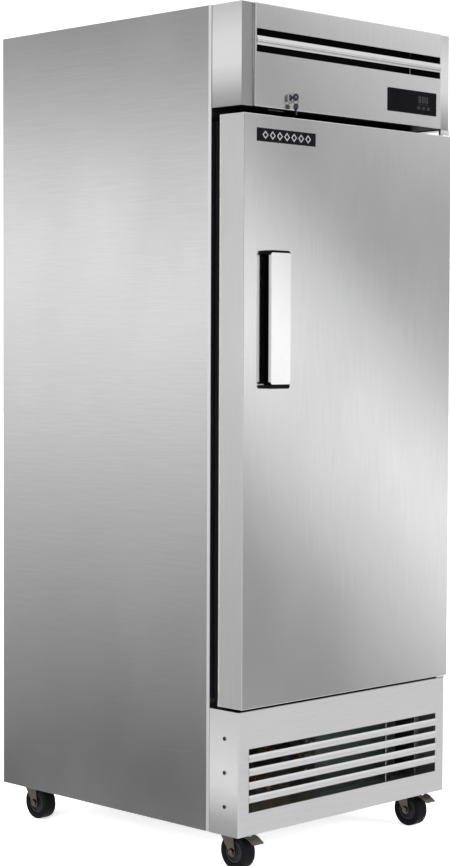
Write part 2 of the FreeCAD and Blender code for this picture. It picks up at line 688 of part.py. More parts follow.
def key():
    """The key in the lock: a blade in the plug and an upright round bow with an eye."""
    bow = rod((LOCK_X - KEY_THICK / 2, KEY_Y, LOCK_Z), (LOCK_X + KEY_THICK / 2, KEY_Y, LOCK_Z), KEY_BOW)
    eye = rod((LOCK_X - KEY_THICK, KEY_Y, LOCK_Z), (LOCK_X + KEY_THICK, KEY_Y, LOCK_Z), KEY_EYE)
    neck_y = (KEY_Y + KEY_EYE + KEY_THICK, HEADER_FACE - BEZEL)
    neck = block((LOCK_X - KEY_THICK / 2, LOCK_X + KEY_THICK / 2), neck_y,
                 (LOCK_Z - KEY_BLADE / 2, LOCK_Z + KEY_BLADE / 2))
    return fuse([bow, neck, key_slot()]).cut(eye)


def spare_key():
    """A second key on a split ring, whose wire rests on the lower rim of the first key's eye."""
    ring_z = LOCK_Z - KEY_EYE + RING_WIRE + RING_PLAY - RING_RADIUS
    ring = Part.makeTorus(RING_RADIUS, RING_WIRE, V(LOCK_X, KEY_Y, ring_z), V(0, 1, 0))
    eye_z = ring_z - RING_RADIUS
    bow_radius = KEY_BOW - 1
    bow_z = eye_z - bow_radius + SPARE_EYE + SPARE_RIM
    left, right = LOCK_X - KEY_THICK / 2, LOCK_X + KEY_THICK / 2
    bow = rod((left, KEY_Y, bow_z), (right, KEY_Y, bow_z), bow_radius)
    blade = block((left, right), (KEY_Y - KEY_BLADE / 2, KEY_Y + KEY_BLADE / 2), (bow_z - SPARE_BLADE, bow_z))
    eye = rod((left - 1, KEY_Y, eye_z), (right + 1, KEY_Y, eye_z), SPARE_EYE)
    return [fuse([bow, blade]).cut(eye), ring]


# ------------------------------------------------------------------ door
def bush_room(z):
    return rod((HINGE_X, HINGE_Y, z), (HINGE_X, HINGE_Y, z + BUSH_LENGTH), HINGE_PIN + BUSH_WALL)


def handle_x():
    left = -HALF + HANDLE_LEFT
    return left, left + HANDLE_WIDTH


def handle_z():
    high = DOOR_HIGH - HANDLE_DROP
    return high - HANDLE_HEIGHT, high


def pocket_room():
    """The hole in the door that the handle's cup fills."""
    x, z = handle_x(), handle_z()
    return block(x, (DOOR_FRONT, DOOR_FRONT + HANDLE_POCKET), (z[0] + HANDLE_CAP / 2, z[1] - HANDLE_CAP / 2))


def door_cuts():
    return [bush_room(DOOR_LOW), bush_room(DOOR_HIGH - BUSH_LENGTH), pocket_room(), door_cam_pocket()]


def door_cam_pocket():
    bottom = LOCK_Z - CAM_LENGTH - CAM_CLEARANCE
    return cam_room(bottom, DOOR_HIGH + 1)


def door_skin():
    """The stainless pan: the front and the four edges in one folded sheet."""
    x, y, z = (-HALF, HALF), (DOOR_FRONT, DOOR_REAR - DOOR_BACK), (DOOR_LOW, DOOR_HIGH)
    skin = shell(x, y, z, DOOR_SKIN, "back")
    for cut in door_cuts():
        skin = skin.cut(cut)
    return skin


def dyke(inset):
    """The raised middle of the inner panel, or with an inset of one wall, the foam inside it."""
    half = OPEN_HALF - DYKE_CLEARANCE - inset
    low, high = OPEN_LOW + DYKE_CLEARANCE + inset, OPEN_HIGH - DYKE_CLEARANCE - inset
    return block((-half, half), (DOOR_REAR - DOOR_BACK, DOOR_REAR + DYKE_DEPTH - inset), (low, high))


def door_foam():
    wall = DOOR_SKIN
    foam = block((-HALF + wall, HALF - wall), (DOOR_FRONT + wall, DOOR_REAR - DOOR_BACK),
                 (DOOR_LOW + wall, DOOR_HIGH - wall))
    for cut in door_cuts():
        foam = foam.cut(cut)
    return fuse([foam, dyke(DOOR_BACK)])


def door_inner_panel():
    """The back of the door, raised in the middle so that it fills the opening."""
    plate = block((-HALF, HALF), (DOOR_REAR - DOOR_BACK, DOOR_REAR), (DOOR_LOW, DOOR_HIGH))
    raised = round_edges(dyke(0.0), DYKE_CORNER, (0, 1, 0))
    return fuse([plate, raised]).cut(dyke(DOOR_BACK))


def door_gasket():
    """The magnetic seal: a black frame between the door and the cabinet face."""
    outer = block((-HALF + SEAL_INSET, HALF - SEAL_INSET), (DOOR_REAR, SEAL_REAR),
                  (DOOR_LOW + SEAL_INSET, DOOR_HIGH - SEAL_INSET))
    inner = block((-HALF + SEAL_INNER, HALF - SEAL_INNER), (DOOR_REAR, SEAL_REAR),
                  (DOOR_LOW + SEAL_INNER, DOOR_HIGH - SEAL_INNER))
    return outer.cut(inner)


def hinge_bushes():
    """Two flanged bushes that the hinge pins turn in."""
    bore = HINGE_PIN + HINGE_RUNNING
    wall = HINGE_PIN + BUSH_WALL
    low = tube((HINGE_X, HINGE_Y, DOOR_LOW), (HINGE_X, HINGE_Y, DOOR_LOW + BUSH_LENGTH), wall, bore)
    high = tube((HINGE_X, HINGE_Y, DOOR_HIGH - BUSH_LENGTH), (HINGE_X, HINGE_Y, DOOR_HIGH), wall, bore)
    return [low, high]


def door_badge():
    left = -HALF + BADGE_LEFT
    low = DOOR_HIGH - BADGE_DROP - BADGE_HEIGHT
    plate = block((left, left + BADGE_WIDTH), (DOOR_FRONT - BADGE_THICK, DOOR_FRONT),
                  (low, low + BADGE_HEIGHT))
    return round_edges(plate, BADGE_THICK, (0, 1, 0))


def handle_bracket():
    """The black moulding: a cup sunk in the door, two end caps and the right-hand wall."""
    x, z = handle_x(), handle_z()
    front = HANDLE_FRONT + GRIP_SHEET
    body = block(x, (front, DOOR_FRONT), z)
    body = round_edges(body, HANDLE_CORNER, (0, 1, 0))
    body = fuse([body, pocket_room()])
    inner_x = (x[0] + HANDLE_WALL, x[1] - HANDLE_WALL)
    inner_z = (z[0] + HANDLE_CAP, z[1] - HANDLE_CAP)
    room = block((x[0] - 1, inner_x[1]), (front - 1, DOOR_FRONT), inner_z)
    cup = block(inner_x, (DOOR_FRONT - 1, DOOR_FRONT + HANDLE_POCKET - HANDLE_WALL), inner_z)
    return body.cut(room).cut(cup)


def handle_grip():
    """The polished plate over the moulding, with its free edge turned in for the fingers."""
    x, z = handle_x(), handle_z()
    plate = block(x, (HANDLE_FRONT, HANDLE_FRONT + GRIP_SHEET), z)
    plate = round_edges(plate, HANDLE_CORNER, (0, 1, 0))
    rear = HANDLE_FRONT + GRIP_SHEET
    lip = block((x[0], x[0] + GRIP_SHEET), (rear, rear + GRIP_LIP), (z[0] + HANDLE_CAP, z[1] - HANDLE_CAP))
    return fuse([plate, lip])


# ------------------------------------------------------------------ hinge brackets
def hinge_bracket(plate_z, lip_z, pin_z):
    """A plate reaching from the cabinet face over the pivot, a front lip and the pin."""
    x = (HALF - HINGE_WIDTH, HALF)
    plate = block(x, (-HINGE_LIP, FRONT_BOX), plate_z)
    lip = block(x, (-HINGE_LIP, 0.0), lip_z)
    pin = rod((HINGE_X, HINGE_Y, pin_z[0]), (HINGE_X, HINGE_Y, pin_z[1]), HINGE_PIN)
    return fuse([plate, lip, pin])


def hinge_bracket_top():
    plate_low = HEADER_LOW - HINGE_PLATE
    return hinge_bracket((plate_low, HEADER_LOW), (DOOR_HIGH + HINGE_LIP, HEADER_LOW),
                         (DOOR_HIGH - HINGE_PIN_LENGTH, HEADER_LOW))


def hinge_bracket_bottom():
    plate_high = GRILLE_TOP + HINGE_PLATE
    collar = tube((HINGE_X, HINGE_Y, plate_high), (HINGE_X, HINGE_Y, DOOR_LOW - END_PLAY),
                  HINGE_PIN + BUSH_WALL, HINGE_PIN)
    bracket = hinge_bracket((GRILLE_TOP, plate_high), (GRILLE_TOP, DOOR_LOW - 1),
                            (GRILLE_TOP, DOOR_LOW + HINGE_PIN_LENGTH))
    return fuse([bracket, collar])


# ------------------------------------------------------------------ casters
def caster_plate():
    """The fixed plate with the kingpin riveted to it, drawn with the kingpin on the origin."""
    half = CASTER_PLATE_HALF
    low = CASTER_PLATE_TOP - CASTER_PLATE
    plate = block((-half, half), (-half, half), (low, CASTER_PLATE_TOP))
    plate = round_edges(plate, CASTER_CORNER, (0, 0, 1))
    for dx in (-CASTER_BOLT_PITCH / 2, CASTER_BOLT_PITCH / 2):
        for dy in (-CASTER_BOLT_PITCH / 2, CASTER_BOLT_PITCH / 2):
            plate = plate.cut(rod((dx, dy, low - 1), (dx, dy, CASTER_PLATE_TOP + 1), BOLT))
    boss = rod((0, 0, FORK_TOP + END_PLAY), (0, 0, low), CASTER_BOSS)
    pin = rod((0, 0, FORK_TOP - 2 * FORK_SHEET), (0, 0, low), KINGPIN)
    head_top = FORK_TOP - FORK_SHEET - END_PLAY
    head = rod((0, 0, head_top - KINGPIN_HEAD_HEIGHT), (0, 0, head_top), KINGPIN_HEAD)
    return fuse([plate, boss, pin, head])


def fork_leg():
    """One side of the fork: wide at the top, narrow at the axle."""
    x = FORK_INSIDE
    y, z = -CASTER_TRAIL, WHEEL_RADIUS
    outline = [(x, FORK_REAR, FORK_TOP), (x, FORK_REAR, FORK_TOP - 8), (x, y + 7, z - 7), (x, y - 8, z - 6),
               (x, y - 10, z + 2), (x, y - 2, FORK_TOP - 12), (x, y - 1, FORK_TOP)]
    leg = plate_from(outline, (1, 0, 0), FORK_SHEET)
    return fuse([leg, rod((x, y, z), (x + FORK_SHEET, y, z), AXLE_EYE)])


def caster_fork(with_pedal):
    """Two legs and a top plate round the kingpin, and the axle bolt, with its kingpin on the origin."""
    y, z = -CASTER_TRAIL, WHEEL_RADIUS
    top = block((-FORK_OUTSIDE, FORK_OUTSIDE), (FORK_FRONT, FORK_REAR), (FORK_TOP - FORK_SHEET, FORK_TOP))
    fork = fuse([top] + pair(fork_leg()))
    fork = fork.cut(rod((0, 0, 0), (0, 0, FORK_TOP + 1), KINGPIN + KINGPIN_RUNNING))
    fork = fork.cut(rod((-FORK_OUTSIDE - 1, y, z), (FORK_OUTSIDE + 1, y, z), AXLE))
    end = FORK_OUTSIDE + AXLE_NUT
    nut = rod((FORK_OUTSIDE, y, z), (end, y, z), AXLE + AXLE_NUT_WALL)
    axle = fuse([rod((-end, y, z), (end, y, z), AXLE)] + pair(nut))
    pieces = [fork, axle]
    if with_pedal:
        start = (-FORK_OUTSIDE - 1, PEDAL_PIVOT_Y, PEDAL_PIVOT_Z)
        end = (FORK_OUTSIDE + 1, PEDAL_PIVOT_Y, PEDAL_PIVOT_Z)
        pin = rod(start, end, PEDAL_PIN)
        pieces = [fork.cut(pin), axle, pin]
    return pieces


def caster_wheel():
    """A rubber tyre on a moulded hub, with a running fit on the axle."""
    y, z = -CASTER_TRAIL, WHEEL_RADIUS
    half = WHEEL_WIDTH / 2
    tyre = tube((-half, y, z), (half, y, z), WHEEL_RADIUS, HUB_RADIUS)
    rims = [edge for edge in tyre.Edges if abs(edge.BoundBox.ZLength - WHEEL_DIAMETER) < 0.01
            and edge.BoundBox.XLength < 0.01]
    tyre = tyre.makeFillet(TYRE_ROUND, rims)
    hub = tube((-half, y, z), (half, y, z), HUB_RADIUS, AXLE + AXLE_RUNNING)
    return [tyre, hub]


def brake_pedal():
    """A lever over the wheel: a tube on its pin, an arm that slopes under the skirt and a foot plate."""
    half = FORK_INSIDE - 1
    y, z = PEDAL_PIVOT_Y, PEDAL_PIVOT_Z
    bore = PEDAL_PIN + HINGE_RUNNING
    upper = [(-half, y, z + 4.5), (-half, -46, z - 4), (-half, -72, z - 9), (-half, -90, z - 20)]
    lower = [(px, py + 0.8, pz - PEDAL_SHEET) for px, py, pz in reversed(upper)]
    arm = plate_from(upper + lower, (1, 0, 0), 2 * half)
    hub = rod((-half, y, z), (half, y, z), bore + PEDAL_HUB_WALL)
    lever = fuse([arm, hub]).cut(rod((-half - 1, y, z), (half + 1, y, z), bore))
    return lever.cut(rod((0, PEDAL_HOLE_Y, 0), (0, PEDAL_HOLE_Y, FORK_TOP), PEDAL_HOLE))


# ------------------------------------------------------------------ cold space
def shelf(level):
    """A wire shelf: a frame, two long runners and a row of rods across."""
    half = OPEN_HALF - RAIL_DEPTH - SHELF_PLAY
    front, back = LINER_FRONT + SHELF_FRONT_GAP, LINER_BACK - SHELF_BACK_GAP
    z = OPEN_LOW + SHELF_FIRST + level * SHELF_PITCH
    wires = []
    for y in (front, (front + back) / 2, back):
        wires.append(block((-half, half), (y - SHELF_WIRE, y + SHELF_WIRE), (z, z + 2 * SHELF_WIRE)))
    for x in (-half, half - 2 * SHELF_WIRE):
        wires.append(block((x, x + 2 * SHELF_WIRE), (front, back), (z, z + 2 * SHELF_WIRE)))
    pitch = 2 * half / (SHELF_RODS + 1)
    for i in range(SHELF_RODS):
        x = -half + (i + 1) * pitch
        across = (x - SHELF_WIRE / 2, x + SHELF_WIRE / 2)
        wires.append(block(across, (front, back), (z + SHELF_WIRE, z + 2 * SHELF_WIRE)))
    return fuse(wires)


def rail_ys():
    return LINER_FRONT + SHELF_FRONT_GAP + RAIL_INSET, LINER_BACK - SHELF_BACK_GAP - RAIL_INSET


def shelf_rails():
    """Four uprights on the side walls, with a clip hooked into them under each shelf corner."""
    pieces = []
    inner, outer = OPEN_HALF - RAIL_DEPTH - CLIP_REACH, OPEN_HALF - RAIL_DEPTH
    for y in rail_ys():
        pieces += pair(block((outer, OPEN_HALF), (y - RAIL_WIDTH / 2, y + RAIL_WIDTH / 2),
                             (OPEN_LOW + RAIL_MARGIN, OPEN_HIGH - RAIL_MARGIN)))
        for level in range(SHELF_COUNT):
            z = OPEN_LOW + SHELF_FIRST + level * SHELF_PITCH
            pieces += pair(block((inner, outer), (y - CLIP / 2, y + CLIP / 2), (z - CLIP, z)))
    return pieces


def interior_lamp():
    """A strip lamp under the soffit, behind the opening's head."""
    front = LINER_FRONT + LAMP_BACK
    lamp = block((-LAMP_HALF, LAMP_HALF), (front, front + LAMP_DEPTH), (OPEN_HIGH - LAMP_HEIGHT, OPEN_HIGH))
    return round_edges(lamp, LAMP_CORNER, (1, 0, 0))


def finned(x, y, z, count):
    """A coil: a row of upright fins on four tubes that run along x."""
    fins = []
    pitch = (x[1] - x[0] - COIL_FIN) / (count - 1)
    for i in range(count):
        left = x[0] + i * pitch
        fins.append(block((left, left + COIL_FIN), y, z))
    middle = (y[0] + y[1]) / 2
    for i in range(COIL_TUBES):
        height = z[0] + (i + 0.5) * (z[1] - z[0]) / COIL_TUBES
        ends = (x[0] - COIL_BEND, middle, height), (x[1] + COIL_BEND, middle, height)
        fins.append(rod(*ends, COIL_TUBE))
    return fuse(fins)


def evaporator_coil():
    width = (-COOLER_X + 20, COOLER_X - 20)
    depth = (COOLER_Y[1] - COIL_DEPTH, COOLER_Y[1])
    return finned(width, depth, (COOLER_Z[0] + 8, COOLER_Z[1] - 8), EVAPORATOR_FINS)


def fan_hole(x, y, z, radius):
    return rod((x, y[0], z), (x, y[1], z), radius)


def evaporator_housing():
    """The cooler's casing: open at the back for the coil, with a round mouth for the fan in front."""
    box = shell((-COOLER_X, COOLER_X), COOLER_Y, COOLER_Z, COOLER_SHEET, "back")
    mouth = (COOLER_Y[0] - 1, COOLER_Y[0] + 2 * COOLER_SHEET)
    return box.cut(fan_hole(0, mouth, EVAPORATOR_FAN_Z, EVAPORATOR_FAN + TIP_CLEARANCE))


def fan_motor(x, y, z, radius, length, reach, foot):
    """A motor behind its fan: a can, a shaft that points forward and two arms that hold the can."""
    can_y = y + MOTOR_BACK
    can = rod((x, can_y, z), (x, can_y + length, z), radius)
    shaft = rod((x, y - FAN_HUB_HALF + 2, z), (x, can_y, z), FAN_SHAFT)
    arm_y = (can_y + 8, can_y + 8 + MOTOR_ARM)
    arm_z = (z - MOTOR_ARM_HALF, z + MOTOR_ARM_HALF)
    arm = block((x - reach, x + reach), arm_y, arm_z)
    legs = [block((middle - MOTOR_LEG, middle + MOTOR_LEG), (y + foot, arm_y[1]), arm_z)
            for middle in (x - reach, x + reach)]
    return fuse([can, shaft, arm] + legs)


def fan_blade(x, y, z, radius):
    """A fan: a hub with a running fit on the shaft and flat blades set at an angle."""
    front, rear = y - FAN_HUB_HALF, y + FAN_HUB_HALF
    hub = rod((x, front, z), (x, rear, z), radius * 0.24)
    shapes = [hub]
    for i in range(FAN_BLADES):
        wing = block((-radius * 0.26, radius * 0.26), (-1.2, 1.2), (radius * 0.18, radius * 0.9))
        wing = round_edges(wing, radius * 0.16, (0, 1, 0))
        wing.rotate(V(0, 0, 0), V(0, 0, 1), FAN_PITCH)
        wing.rotate(V(0, 0, 0), V(0, 1, 0), i * 360 / FAN_BLADES)
        shapes.append(wing.translated(V(x, y, z)))
    fan = fuse(shapes)
    return fan.cut(rod((x, front - 1, z), (x, rear + 1, z), FAN_SHAFT + FAN_RUNNING))


def evaporator_fan_motor():
    return fan_motor(0, EVAPORATOR_FAN_Y, EVAPORATOR_FAN_Z, 26, 44, EVAPORATOR_FAN + 20,
                     COOLER_Y[0] + COOLER_SHEET - EVAPORATOR_FAN_Y)


# ------------------------------------------------------------------ machine compartment
def condenser_coil():
    return finned(CONDENSER_X, CONDENSER_Y, CONDENSER_Z, CONDENSER_FINS)


def condenser_fan_shroud():
    """A square hood behind the condenser, with a round mouth that the fan turns in."""
    x, z = CONDENSER_X, CONDENSER_Z
    y = (CONDENSER_Y[1], CONDENSER_FAN_Y + 8)
    hood = shell(x, y, z, COOLER_SHEET, "front")
    mouth = (y[0], y[1] + 1)
    return hood.cut(fan_hole(CONDENSER_FAN_X, mouth, CONDENSER_FAN_Z, CONDENSER_FAN + TIP_CLEARANCE))


def condenser_fan_motor():
    return fan_motor(CONDENSER_FAN_X, CONDENSER_FAN_Y, CONDENSER_FAN_Z, 32, 54, CONDENSER_FAN + 18, 8.0)


def compressor():
    """A welded steel shell on a foot plate with four rubber mounts, and its terminal box."""
    x, y, low = COMPRESSOR_X, COMPRESSOR_Y, PAN_HIGH
    foot_low = low + MOUNT_HEIGHT
    shell_low = foot_low + 3
    dome = COMPRESSOR_RADIUS
    body = rod((x, y, shell_low), (x, y, low + COMPRESSOR_HEIGHT), dome)
    rims = [edge for edge in body.Edges if edge.BoundBox.ZLength < 0.01]
    body = body.makeFillet(COMPRESSOR_DOME, rims)
    foot_x, foot_y = COMPRESSOR_FOOT
    foot = block((x - foot_x, x + foot_x), (y - foot_y, y + foot_y), (foot_low, shell_low + 8))
    foot = round_edges(foot, MOUNT_INSET, (0, 0, 1))
    terminals = block((x + dome - 12, x + dome + TERMINAL_REACH), (y - TERMINAL_REACH, y + TERMINAL_REACH),
                      (low + 70, low + 125))
    mounts = []
    for mount_x in (x - foot_x + MOUNT_INSET, x + foot_x - MOUNT_INSET):
        for mount_y in (y - foot_y + MOUNT_INSET, y + foot_y - MOUNT_INSET):
            mounts.append(rod((mount_x, mount_y, low), (mount_x, mount_y, foot_low), MOUNT_RADIUS))
    return [fuse([body, foot, terminals])] + mounts


def refrigerant_lines():
    """The suction pipe, the discharge pipe and the drier on the liquid side."""
    body = compressor()[0]
    high = PAN_HIGH + COMPRESSOR_HEIGHT / 2
    across = COMPRESSOR_X + 20
    left = CONDENSER_X[0] - 16
    turn_y = CONDENSER_FAN_Y + 114
    runs = [((across, COMPRESSOR_Y, high), (across, turn_y, high)),
            ((across, turn_y, high), (left, turn_y, high)),
            ((left, turn_y, high), (left, CONDENSER_Y[1] - 10, high))]
    drier_x, drier_z = left - 60, PAN_HIGH + 20
    drier = rod((drier_x, CONDENSER_FAN_Y, drier_z), (drier_x, CONDENSER_FAN_Y + DRIER_LENGTH, drier_z),
                DRIER_RADIUS)
    return [pipe_along(suction_run(), PIPE).cut(body), pipe_along(runs, DISCHARGE_PIPE).cut(body), drier]


def drain_pan():
    """The tray that collects melt water from the evaporator."""
    return shell(DRAIN_X, DRAIN_Y, (PAN_HIGH, PAN_HIGH + DRAIN_HEIGHT), DRAIN_WALL, "top")


def electrical_box():
    """The closed box of the starting gear."""
    box = block(ELECTRICAL_X, ELECTRICAL_Y, (PAN_HIGH, PAN_HIGH + ELECTRICAL_HEIGHT))
    return round_edges(box, ELECTRICAL_CORNER, (0, 0, 1))


def inlet_body():
    width, height, depth = INLET_SIZE
    return block((INLET_X - width / 2, INLET_X + width / 2), (DEPTH - depth, DEPTH),
                 (INLET_Z - height / 2, INLET_Z + height / 2))


def power_inlet():
    """The socket for the supply, flush with the back, with its recess and three pins."""
    width, height, depth = INLET_SIZE
    wall = INLET_WALL
    room = block((INLET_X - width / 2 + wall, INLET_X + width / 2 - wall), (DEPTH - depth + wall, DEPTH + 1),
                 (INLET_Z - height / 2 + wall, INLET_Z + height / 2 - wall))
    body = inlet_body().cut(room)
    pins = []
    for x in (INLET_X - INLET_PIN_PITCH, INLET_X, INLET_X + INLET_PIN_PITCH):
        pins.append(block((x - 1, x + 1), (DEPTH - depth + wall - 1, DEPTH - wall),
                          (INLET_Z - wall, INLET_Z + wall)))
    return fuse([body] + pins)


# ------------------------------------------------------------------ write every sub-part
def write_cabinet():
    right = side_panel()
    save("side_panel_right", right)
    save("side_panel_left", mirrored(right))
    for make in (back_panel, top_panel, insulation_foam, inner_liner, breaker_frame, base_frame,
                 header_panel, header_cheeks, header_baffle, grille_panel, grille_cheeks, fasteners,
                 hinge_bracket_top, hinge_bracket_bottom, controller_case, controller_lens, lock_housing,
                 interior_lamp, shelf_rails, power_inlet):
        save(make.__name__, make())
    save("shelves", [shelf(level) for level in range(SHELF_COUNT)])


def write_door():
    for make in (door_skin, door_foam, door_inner_panel, door_gasket, door_badge, handle_bracket,
                 handle_grip, hinge_bushes):
        save(make.__name__, make())


def write_controls():
    for make in (lock_plug, key, spare_key):
        save(make.__name__, make())
    for name, place in zip(BUTTON_NAMES, button_places()):
        save(f"button_{name}", button_cap(place))


def write_cooling():
    for make in (compressor, condenser_coil, condenser_fan_shroud, condenser_fan_motor, refrigerant_lines,
                 drain_pan, electrical_box, evaporator_coil, evaporator_housing, evaporator_fan_motor):
        save(make.__name__, make())
    condenser_fan = fan_blade(CONDENSER_FAN_X, CONDENSER_FAN_Y, CONDENSER_FAN_Z, CONDENSER_FAN)
    evaporator_fan = fan_blade(0, EVAPORATOR_FAN_Y, EVAPORATOR_FAN_Z, EVAPORATOR_FAN)
    save("condenser_fan_blade", condenser_fan)
    save("evaporator_fan_blade", evaporator_fan)


def write_casters():
    plate, wheel, pedal = caster_plate(), caster_wheel(), brake_pedal()
    save("caster_plates", [plate.translated(V(x, y, 0)) for x, y in CASTERS.values()])
    for name, (x, y) in CASTERS.items():
        at_front = name.startswith("front")
        place = V(x, y, 0)
        save(f"caster_fork_{name}", [piece.translated(place) for piece in caster_fork(at_front)])
        save(f"caster_wheel_{name}", [piece.translated(place) for piece in wheel])
        if at_front:
            save(f"brake_pedal_{name}", pedal.translated(place))


def main():
    os.makedirs("parts", exist_ok=True)
    write_cabinet()
    write_door()
    write_controls()
    write_cooling()
    write_casters()


if __name__ == "__main__":
    main()
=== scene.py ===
# %% [markdown]
# # A one-door reach-in refrigerator
# The refrigerator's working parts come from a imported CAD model, the frame. This script loads the
# frame, gives every part a finish, and builds finer pieces where the CAD part is too plain to show.
# All lengths are metres. The door faces -Y, the floor is z = 0 and +X is the hinge side.

# %% Load the frame
import json
import math

import bmesh
import bpy
from mathutils import Matrix, Vector


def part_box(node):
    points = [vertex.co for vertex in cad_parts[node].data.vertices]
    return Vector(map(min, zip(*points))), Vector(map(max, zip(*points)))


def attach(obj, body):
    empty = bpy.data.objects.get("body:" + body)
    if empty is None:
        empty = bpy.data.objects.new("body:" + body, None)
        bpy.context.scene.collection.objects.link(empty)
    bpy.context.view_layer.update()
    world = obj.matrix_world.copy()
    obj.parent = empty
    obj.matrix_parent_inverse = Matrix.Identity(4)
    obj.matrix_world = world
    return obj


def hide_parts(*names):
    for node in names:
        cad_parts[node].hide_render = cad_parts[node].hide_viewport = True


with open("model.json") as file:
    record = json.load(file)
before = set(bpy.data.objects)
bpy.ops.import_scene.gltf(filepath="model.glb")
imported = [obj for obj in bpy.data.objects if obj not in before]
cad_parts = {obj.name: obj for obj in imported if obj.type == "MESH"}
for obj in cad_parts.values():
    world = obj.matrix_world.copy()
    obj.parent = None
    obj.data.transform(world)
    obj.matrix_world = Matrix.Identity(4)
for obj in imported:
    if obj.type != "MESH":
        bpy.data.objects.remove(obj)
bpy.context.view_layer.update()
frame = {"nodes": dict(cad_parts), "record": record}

MM = 0.001
nodes = frame["nodes"]
body_of = {node: body for body, members in frame["record"]["behaviour"]["bodies"].items() for node in members}
slot_of = {part["node"]: part["material_slot"] for part in frame["record"]["subparts"]}

# %% [markdown]
# ## Small tools for modelling
# An operator works on whatever is selected, and loading the frame leaves all of it selected. So each
# tool first clears the selection, and faces or edges are then chosen by where they lie.

# %% Start clean, and settle a piece


def start_clean():
    if bpy.context.object and bpy.context.object.mode != "OBJECT":
        bpy.ops.object.mode_set(mode="OBJECT")
    bpy.ops.object.select_all(action="DESELECT")


def only(piece):
    start_clean()
    piece.select_set(True)
    bpy.context.view_layer.objects.active = piece
    return piece


def settle(piece, name=None):
    """Put the piece's place, turn and size into its mesh, so that the object sits at the origin."""
    only(piece)
    bpy.ops.object.transform_apply(location=True, rotation=True, scale=True)
    if name:
        piece.name = name
    return piece


def choose(piece, kind, test):
    """In edit mode, select the faces or edges whose middle and normal pass a test."""
    only(piece)
    bpy.ops.object.mode_set(mode="EDIT")
    bpy.ops.mesh.select_mode(type=kind)
    bpy.ops.mesh.select_all(action="DESELECT")
    mesh = bmesh.from_edit_mesh(piece.data)
    mesh.normal_update()
    for item in (mesh.faces if kind == "FACE" else mesh.edges):
        middle = sum((v.co for v in item.verts), Vector()) / len(item.verts)
        if kind == "FACE":
            item.select_set(test(middle, item.normal))
        else:
            along = (item.verts[1].co - item.verts[0].co).normalized()
            item.select_set(test(middle, along))
    mesh.select_flush_mode()
    bmesh.update_edit_mesh(piece.data)
    return piece


def done(piece):
    bpy.ops.object.mode_set(mode="OBJECT")
    return piece


# %% Blocks, rods and finishing touches


def block(name, low, high):
    """A box between two corners."""
    low, high = Vector(low), Vector(high)
    start_clean()
    bpy.ops.mesh.primitive_cube_add(size=1, location=(low + high) / 2, scale=high - low)
    return settle(bpy.context.object, name)


def rod(name, start, end, radius, sides=32):
    """A round bar between two points."""
    start, end = Vector(start), Vector(end)
    turn = (end - start).to_track_quat("Z", "Y").to_euler()
    start_clean()
    bpy.ops.mesh.primitive_cylinder_add(vertices=sides, radius=radius, depth=(end - start).length,
                                        location=(start + end) / 2, rotation=turn)
    return settle(bpy.context.object, name)


def apply_modifier(piece, kind, **settings):
    only(piece)
    modifier = piece.modifiers.new(kind.lower(), kind)
    for key, value in settings.items():
        setattr(modifier, key, value)
    bpy.ops.object.modifier_apply(modifier=modifier.name)
    return piece


def soften(piece, width, segments=2, angle=35):
    """Round every edge sharper than an angle, as a folded or moulded edge is."""
    return apply_modifier(piece, "BEVEL", width=width, segments=segments, limit_method="ANGLE",
                          angle_limit=math.radians(angle))


def cut(piece, *cutters):
    """Take the cutters' shapes out of a piece, and throw the cutters away."""
    for cutter in cutters:
        apply_modifier(piece, "BOOLEAN", object=cutter, operation="DIFFERENCE", solver="EXACT")
        bpy.data.objects.remove(cutter)
    return piece


def join(name, pieces):
    only(pieces[0])
    for piece in pieces[1:]:
        piece.select_set(True)
    if len(pieces) > 1:
        bpy.ops.object.join()
    pieces[0].name = name
    return pieces[0]


def smooth(piece, angle=40):
    """Smooth shading over the small roundings, with the large faces kept flat."""
    only(piece)
    bpy.ops.object.shade_smooth_by_angle(angle=math.radians(angle))
    return apply_modifier(piece, "WEIGHTED_NORMAL", keep_sharp=True)


def copy_at(piece, name, offset):
    """A copy with its own mesh, moved by an offset inside the mesh."""
    twin = piece.copy()
    twin.data = piece.data.copy()
    twin.data.transform(Matrix.Translation(Vector(offset)))
    bpy.context.scene.collection.objects.link(twin)
    twin.name = name
    return twin


def finish(piece, finish_of, node, *also):
    """Give a piece its finish, let it ride on its node's body and stand for its CAD nodes."""
    piece.data.materials.clear()
    piece.data.materials.append(finish_of)
    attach(piece, body_of[node])
    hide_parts(node, *also)
    return piece


def dress(piece, finish_of, node):
    """The same for a piece that adds detail beside a node and replaces nothing."""
    piece.data.materials.clear()
    piece.data.materials.append(finish_of)
    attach(piece, body_of[node])
    return piece


# %% [markdown]
# ## Finishes
# Sheet steel is rolled and then brushed, so its scratches all run one way. The shader gets that from
# a noise stretched along the grain: it drives a faint bump, the roughness and a slight change of
# tone. A second, very large noise tilts the surface by a fraction of a degree, as thin sheet never
# lies quite flat, and that is what makes its reflections wander.

# %% A kit for building shaders


